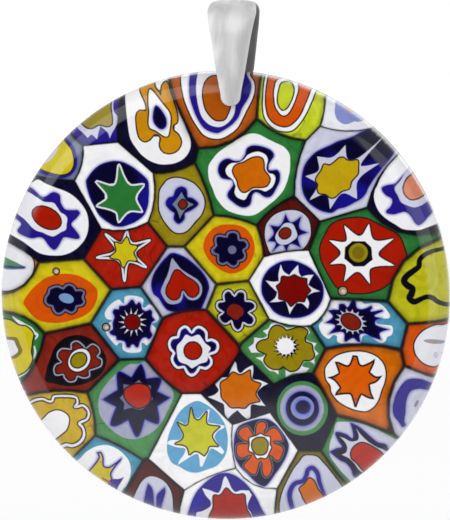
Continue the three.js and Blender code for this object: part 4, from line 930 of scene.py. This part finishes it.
# Glass pulled into a pattern: each layer is laid over the ones below by its signed distance.
def glass_material(name, ground, seam_width, layers):
    nodes = Nodes(bpy.data.materials.new(name))
    wobble = nodes.math("MULTIPLY", nodes.math("SUBTRACT", nodes.noise(1100.0, 3.0), 0.5), 0.07)
    flow = nodes.noise(420.0, 4.0, distortion=2.5)
    cloud = nodes.noise(210.0, 2.0)
    base = linear(ground)
    pale = tuple(min(1.0, c * 1.06 + 0.004) for c in base[:3]) + (1.0,)
    colour = nodes.mix(nodes.ramp(flow, 0.35, 0.62), shaded(base), pale)
    if min(base) < 0.5:
        # Thin dark streaks where the glass was stirred.
        bent = nodes.math("SUBTRACT", nodes.noise(150.0, 1.0, distortion=3.0), 0.5)
        line = nodes.ramp(nodes.math("ABSOLUTE", bent, 0.0), 0.011, 0.0)
        streak = nodes.math("MULTIPLY", line, nodes.ramp(cloud, 0.46, 0.6, 0.0, 0.45))
        colour = nodes.mix(streak, colour, linear("dark"))
    drawn = None
    for k, (fill, shape, *rest) in enumerate(layers):
        edge, grow = (*rest, *("", 0.0)[len(rest):])
        is_inset = isinstance(shape, (int, float))
        if is_inset:
            grow = -shape
        else:
            drawn = nodes.math("ADD", nodes.attribute(f"d{k}"), wobble)
        d = nodes.math("ADD", drawn, grow) if grow else drawn
        if edge == "k":
            colour = nodes.mix(nodes.ramp(d, -LINE - SOFT, -LINE + SOFT), colour, linear("dark"))
        elif fill in ("cobalt", "navy") and not is_inset:
            colour = nodes.mix(nodes.ramp(d, -HALO, 0.0, 0.0, 0.5), colour, linear("halo"))
        paint = linear(fill)
        if edge == "g":
            rich = nodes.mix(nodes.ramp(cloud, 0.55, 0.7, 0.0, 0.5), paint, linear("blue"))
            paint = nodes.mix(nodes.ramp(d, 0.02, BLEED), linear("bleed"), rich)
        else:
            paint = nodes.mix(nodes.ramp(flow, 0.3, 0.65), shaded(paint), paint)
        colour = nodes.mix(nodes.ramp(d, -SOFT, SOFT), colour, paint)
    # The seam between slices: a wide soft shade, then a narrow dark line.
    seam = nodes.math("ADD", nodes.attribute("seam"), nodes.math("MULTIPLY", wobble, 1.5))
    for outer, inner, most in ((7.0, 0.0, 0.42), (2.6, 0.6, 0.92)):
        share = nodes.ramp(seam, seam_width * outer, seam_width * inner, 0.0, most)
        colour = nodes.mix(share, colour, linear("ink"))
    colour = nodes.mix(0.3, colour, nodes.ramp(cloud, 0.3, 0.7, 0.92, 1.0), "MULTIPLY")
    roughness = nodes.ramp(nodes.noise(500.0, 3.0), 0.3, 0.7, 0.06, 0.13)
    bump = (nodes.noise(90.0, 1.0), 0.04, 0.0001)
    return nodes.finish(colour, roughness, bump, IOR=1.5, Coat_Weight=0.15, Coat_Roughness=0.04)


# A visible piece: it takes the place of a CAD node and moves with its body.
def add_piece(mesh, material, body, node):
    mesh.materials.append(material)
    piece = bpy.data.objects.new(mesh.name, mesh)
    bpy.context.scene.collection.objects.link(piece)
    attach(piece, body)
    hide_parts(node)


for node in murrine:
    name = "glass_" + node.removeprefix("murrina_")
    mesh = build_slice(name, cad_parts[node], PATTERNS[node][2])
    add_piece(mesh, glass_material(name, *PATTERNS[node]), "glass_disc", node)


# Satin silver with a lengthwise grain and cloudy polish marks; the inner faces of the fold carry painted shade, much
# darker.
def silver_material(name, low, high):
    nodes = Nodes(bpy.data.materials.new(name))
    brushed = nodes.noise(900.0, 3.0, (3.0, 1.0, 0.12))
    marks = nodes.noise(230.0, 4.0, (1.5, 1.0, 0.45), 0.5)
    colour = nodes.mix(nodes.ramp(marks, 0.36, 0.62), (0.68, 0.68, 0.685, 1.0), (0.95, 0.95, 0.955, 1.0))
    # Painted shade: the inner faces of the folded strip are pulled most of the way to near-black.
    colour = nodes.mix(nodes.math("MULTIPLY", nodes.attribute("inside_painted_shade"), 0.8), colour, (0.11, 0.11, 0.115, 1.0))
    roughness = nodes.ramp(brushed, 0.3, 0.7, low, high)
    return nodes.finish(colour, roughness, (brushed, 0.12, 0.00003), Metallic=1.0)


# Half the width of the folded strip at a height; the back leg stays a little wider.
def strip_half(z, side):
    corner_z = SHEET - BAIL_CORNER
    if z > corner_z:
        up = min(1.0, (z - corner_z) / BAIL_CORNER)
        return BAIL_HALF - BAIL_CORNER * 0.4 * (1 - math.sqrt(1 - up * up))
    rim_half = LEG_RIM_HALF + (BACK_LEG_EXTRA if side > 0 else 0.0)
    if z > TIP_SHOULDER_Z:
        return float(np.interp(z, (TIP_SHOULDER_Z, RIM_Z, corner_z), (TIP_HALF, rim_half, BAIL_HALF)))
    down = min(1.0, (TIP_SHOULDER_Z - z) / (TIP_SHOULDER_Z - TIP_Z))
    return TIP_HALF * max(0.0, 1 - down**TIP_SQUARENESS) ** (1 / TIP_SQUARENESS)


# Rings of points joined into a closed tube with flat ends.
def tube(name, rings, flip):
    around = len(rings[0])
    verts = [tuple(c * MM for c in v) for ring in rings for v in ring]
    faces = []
    for a in range(0, len(verts) - around, around):
        for k in range(around):
            j = (k + 1) % around
            faces.append((a + k, a + around + k, a + around + j, a + j))
    faces += [tuple(range(around)), tuple(reversed(range(len(verts) - around, len(verts))))]
    mesh = bpy.data.meshes.new(name)
    mesh.from_pydata(verts, [], [face[::-1] for face in faces] if flip else faces)
    mesh.shade_smooth()
    return mesh


# The strip is swept down one leg, over the fold and down the other, with a crowned outside.
def build_bail():
    drop = [TIP_Z + (TIP_SHOULDER_Z - TIP_Z) * (1 - math.cos(a * math.pi / 32)) for a in range(1, 16)]
    leg = drop + list(np.linspace(TIP_SHOULDER_Z, -LEG_INNER, 30))
    middle = LEG_INNER + SHEET / 2
    path = [(-middle, z, -1.0, 0.0) for z in leg]
    for k in range(1, 48):
        a = math.pi - k * math.pi / 48
        path.append((middle * math.cos(a), -LEG_INNER + middle * math.sin(a), math.cos(a), math.sin(a)))
    path += [(middle, z, 1.0, 0.0) for z in reversed(leg)]
    rings = []
    for y, z, out_y, out_z in path:
        half = strip_half(z + out_z * SHEET / 2, y)
        thick = 0.55 + 0.45 * min(1.0, half / 0.5)
        ring = []
        for k in range(STRIP_SIDES):
            t = (k + 0.5) * 2 * math.pi / STRIP_SIDES
            u = math.copysign(abs(math.cos(t)) ** STRIP_SQUARENESS, math.cos(t))
            v = math.copysign(abs(math.sin(t)) ** STRIP_SQUARENESS, math.sin(t)) * thick * SHEET / 2
            if v > 0:
                v *= 1 - CROWN * abs(u) ** 2.6
            ring.append((half * u + BAIL_SHIFT, y + out_y * v, z + out_z * v))
        rings.append(ring)
    mesh = tube("silver_bail", rings, False)
    # The inner half of each ring is marked for the painted shade inside the fold.
    shade = mesh.attributes.new("inside_painted_shade", "FLOAT", "POINT")
    shade.data.foreach_set("value", [float(k % STRIP_SIDES >= STRIP_SIDES / 2) for k in range(len(mesh.vertices))])
    return mesh


# A turned peg with a rounded end; side is -1 in front.
def build_peg(name, side):
    inner = LEG_INNER - PEG_REACH - PEG_CLEARANCE
    fillet = 0.15
    profile = [(PEG_RADIUS - fillet * (1 - math.sin(a)), inner + fillet * (1 - math.cos(a)))
               for a in np.linspace(0, math.pi / 2, 6)]
    profile += [(PEG_RADIUS, LEG_INNER - 0.12), (PEG_RADIUS, LEG_INNER)]
    turns = [k * math.pi / 20 for k in range(40)]
    rings = [[(radius * math.cos(t), side * y, HINGE_Z + radius * math.sin(t)) for t in turns]
             for radius, y in profile]
    return tube(name, rings, side < 0)


add_piece(build_bail(), silver_material("satin_silver", 0.6, 0.7), "bail", "bail")
peg_silver = silver_material("peg_silver", 0.22, 0.34)
add_piece(build_peg("silver_front_peg", -1), peg_silver, "bail", "front_peg")
add_piece(build_peg("silver_back_peg", 1), peg_silver, "bail", "back_peg")

# Pale floor a little below the disc, from just in front of it to far behind.
FLOOR_DROP, FLOOR_SIZE, FLOOR_BACK = 0.015, 6.0, 2.85
low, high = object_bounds()
bpy.ops.mesh.primitive_plane_add(size=FLOOR_SIZE, location=(0, FLOOR_BACK, low.z - FLOOR_DROP))
floor = bpy.context.object
floor.name = "floor"
nodes = Nodes(bpy.data.materials.new("floor"))
rays = nodes.add("ShaderNodeLightPath").outputs
seen = nodes.math("MAXIMUM", rays["Is Camera Ray"], rays["Is Glossy Ray"])
diffuse = nodes.add("ShaderNodeBsdfDiffuse")
tone = nodes.mix(nodes.ramp(nodes.noise(3.0), 0.3, 0.7), (0.86, 0.86, 0.87, 1), (0.9, 0.9, 0.91, 1))
nodes.put(diffuse.inputs["Color"], tone)
far = nodes.add("ShaderNodeVectorMath", operation="DISTANCE")
nodes.put(far.inputs[0], nodes.place)
nodes.put(far.inputs[1], (0.0, -FLOOR_BACK, 0.0))
glow = nodes.add("ShaderNodeEmission")
nodes.put(glow.inputs["Strength"], nodes.math("MULTIPLY", seen, nodes.ramp(far.outputs["Value"], 0.15, 1.3, 0.2, 0.49)))
both = nodes.add("ShaderNodeAddShader")
nodes.put(both.inputs[0], diffuse.outputs[0])
nodes.put(both.inputs[1], glow.outputs[0])
nodes.put(nodes.add("ShaderNodeOutputMaterial").inputs["Surface"], both.outputs[0])
floor.data.materials.append(nodes.owner)

# White surroundings. What the glass and silver mirror is darker straight ahead of the disc's
# front and dimmer overhead.
AMBIENT = 0.58
world = bpy.data.worlds.new("studio")
bpy.context.scene.world = world
nodes = Nodes(world, "Generated")
split = nodes.add("ShaderNodeSeparateXYZ")
nodes.put(split.inputs[0], nodes.place)
rays = nodes.add("ShaderNodeLightPath").outputs
ahead = nodes.ramp(split.outputs["Y"], -0.94, -0.74, 0.015, 0.76)
overhead = nodes.ramp(split.outputs["Z"], 0.15, 0.8, 1.0, 0.55)
mirrored = nodes.level(rays["Is Glossy Ray"], AMBIENT, nodes.math("MULTIPLY", ahead, overhead))
background = nodes.add("ShaderNodeBackground")
nodes.put(background.inputs["Color"], (1.0, 1.0, 1.0, 1.0))
nodes.put(background.inputs["Strength"], nodes.math("MAXIMUM", mirrored, rays["Is Camera Ray"]))
nodes.put(nodes.add("ShaderNodeOutputWorld").inputs["Surface"], background.outputs[0])


def lamp(name, place, size, power):
    data = bpy.data.lights.new(name, "AREA")
    data.shape = "DISK"
    data.size = size
    data.energy = power
    obj = bpy.data.objects.new(name, data)
    obj.location = place
    obj.rotation_euler = (middle - Vector(place)).to_track_quat("-Z", "Y").to_euler()
    bpy.context.scene.collection.objects.link(obj)


# Wide soft lamps: metres, then watts.
middle = (low + high) / 2
lamp("key", (-0.45, -0.55, 0.5), 0.9, 3.0)
lamp("fill", (0.6, -0.5, 0.15), 0.8, 1.3)
lamp("back", (0.15, 0.7, 0.4), 0.8, 1.4)

# The camera: the photograph's angle, framed on the whole pendant.
AZIMUTH, ELEVATION, REACH = math.radians(5.2), math.radians(5.6), 0.45
LENS, SENSOR, AIM_ABOVE = 350.3, 36.0, 0.00318
centre = Vector((CENTRE_X * MM, 0.0, CENTRE_Z * MM))
back = Vector((math.sin(AZIMUTH) * math.cos(ELEVATION), -math.cos(AZIMUTH) * math.cos(ELEVATION),
               math.sin(ELEVATION)))
data = bpy.data.cameras.new("camera")
data.lens = LENS
data.sensor_width = SENSOR
camera = bpy.data.objects.new("camera", data)
camera.location = centre + back * REACH
turn = (-back).to_track_quat("-Z", "Y")
aim = centre + turn @ Vector((0.0, AIM_ABOVE, 0.0))
camera.rotation_euler = (aim - camera.location).to_track_quat("-Z", "Y").to_euler()
bpy.context.scene.collection.objects.link(camera)
bpy.context.scene.camera = camera

bpy.context.scene.view_settings.view_transform = "Standard"
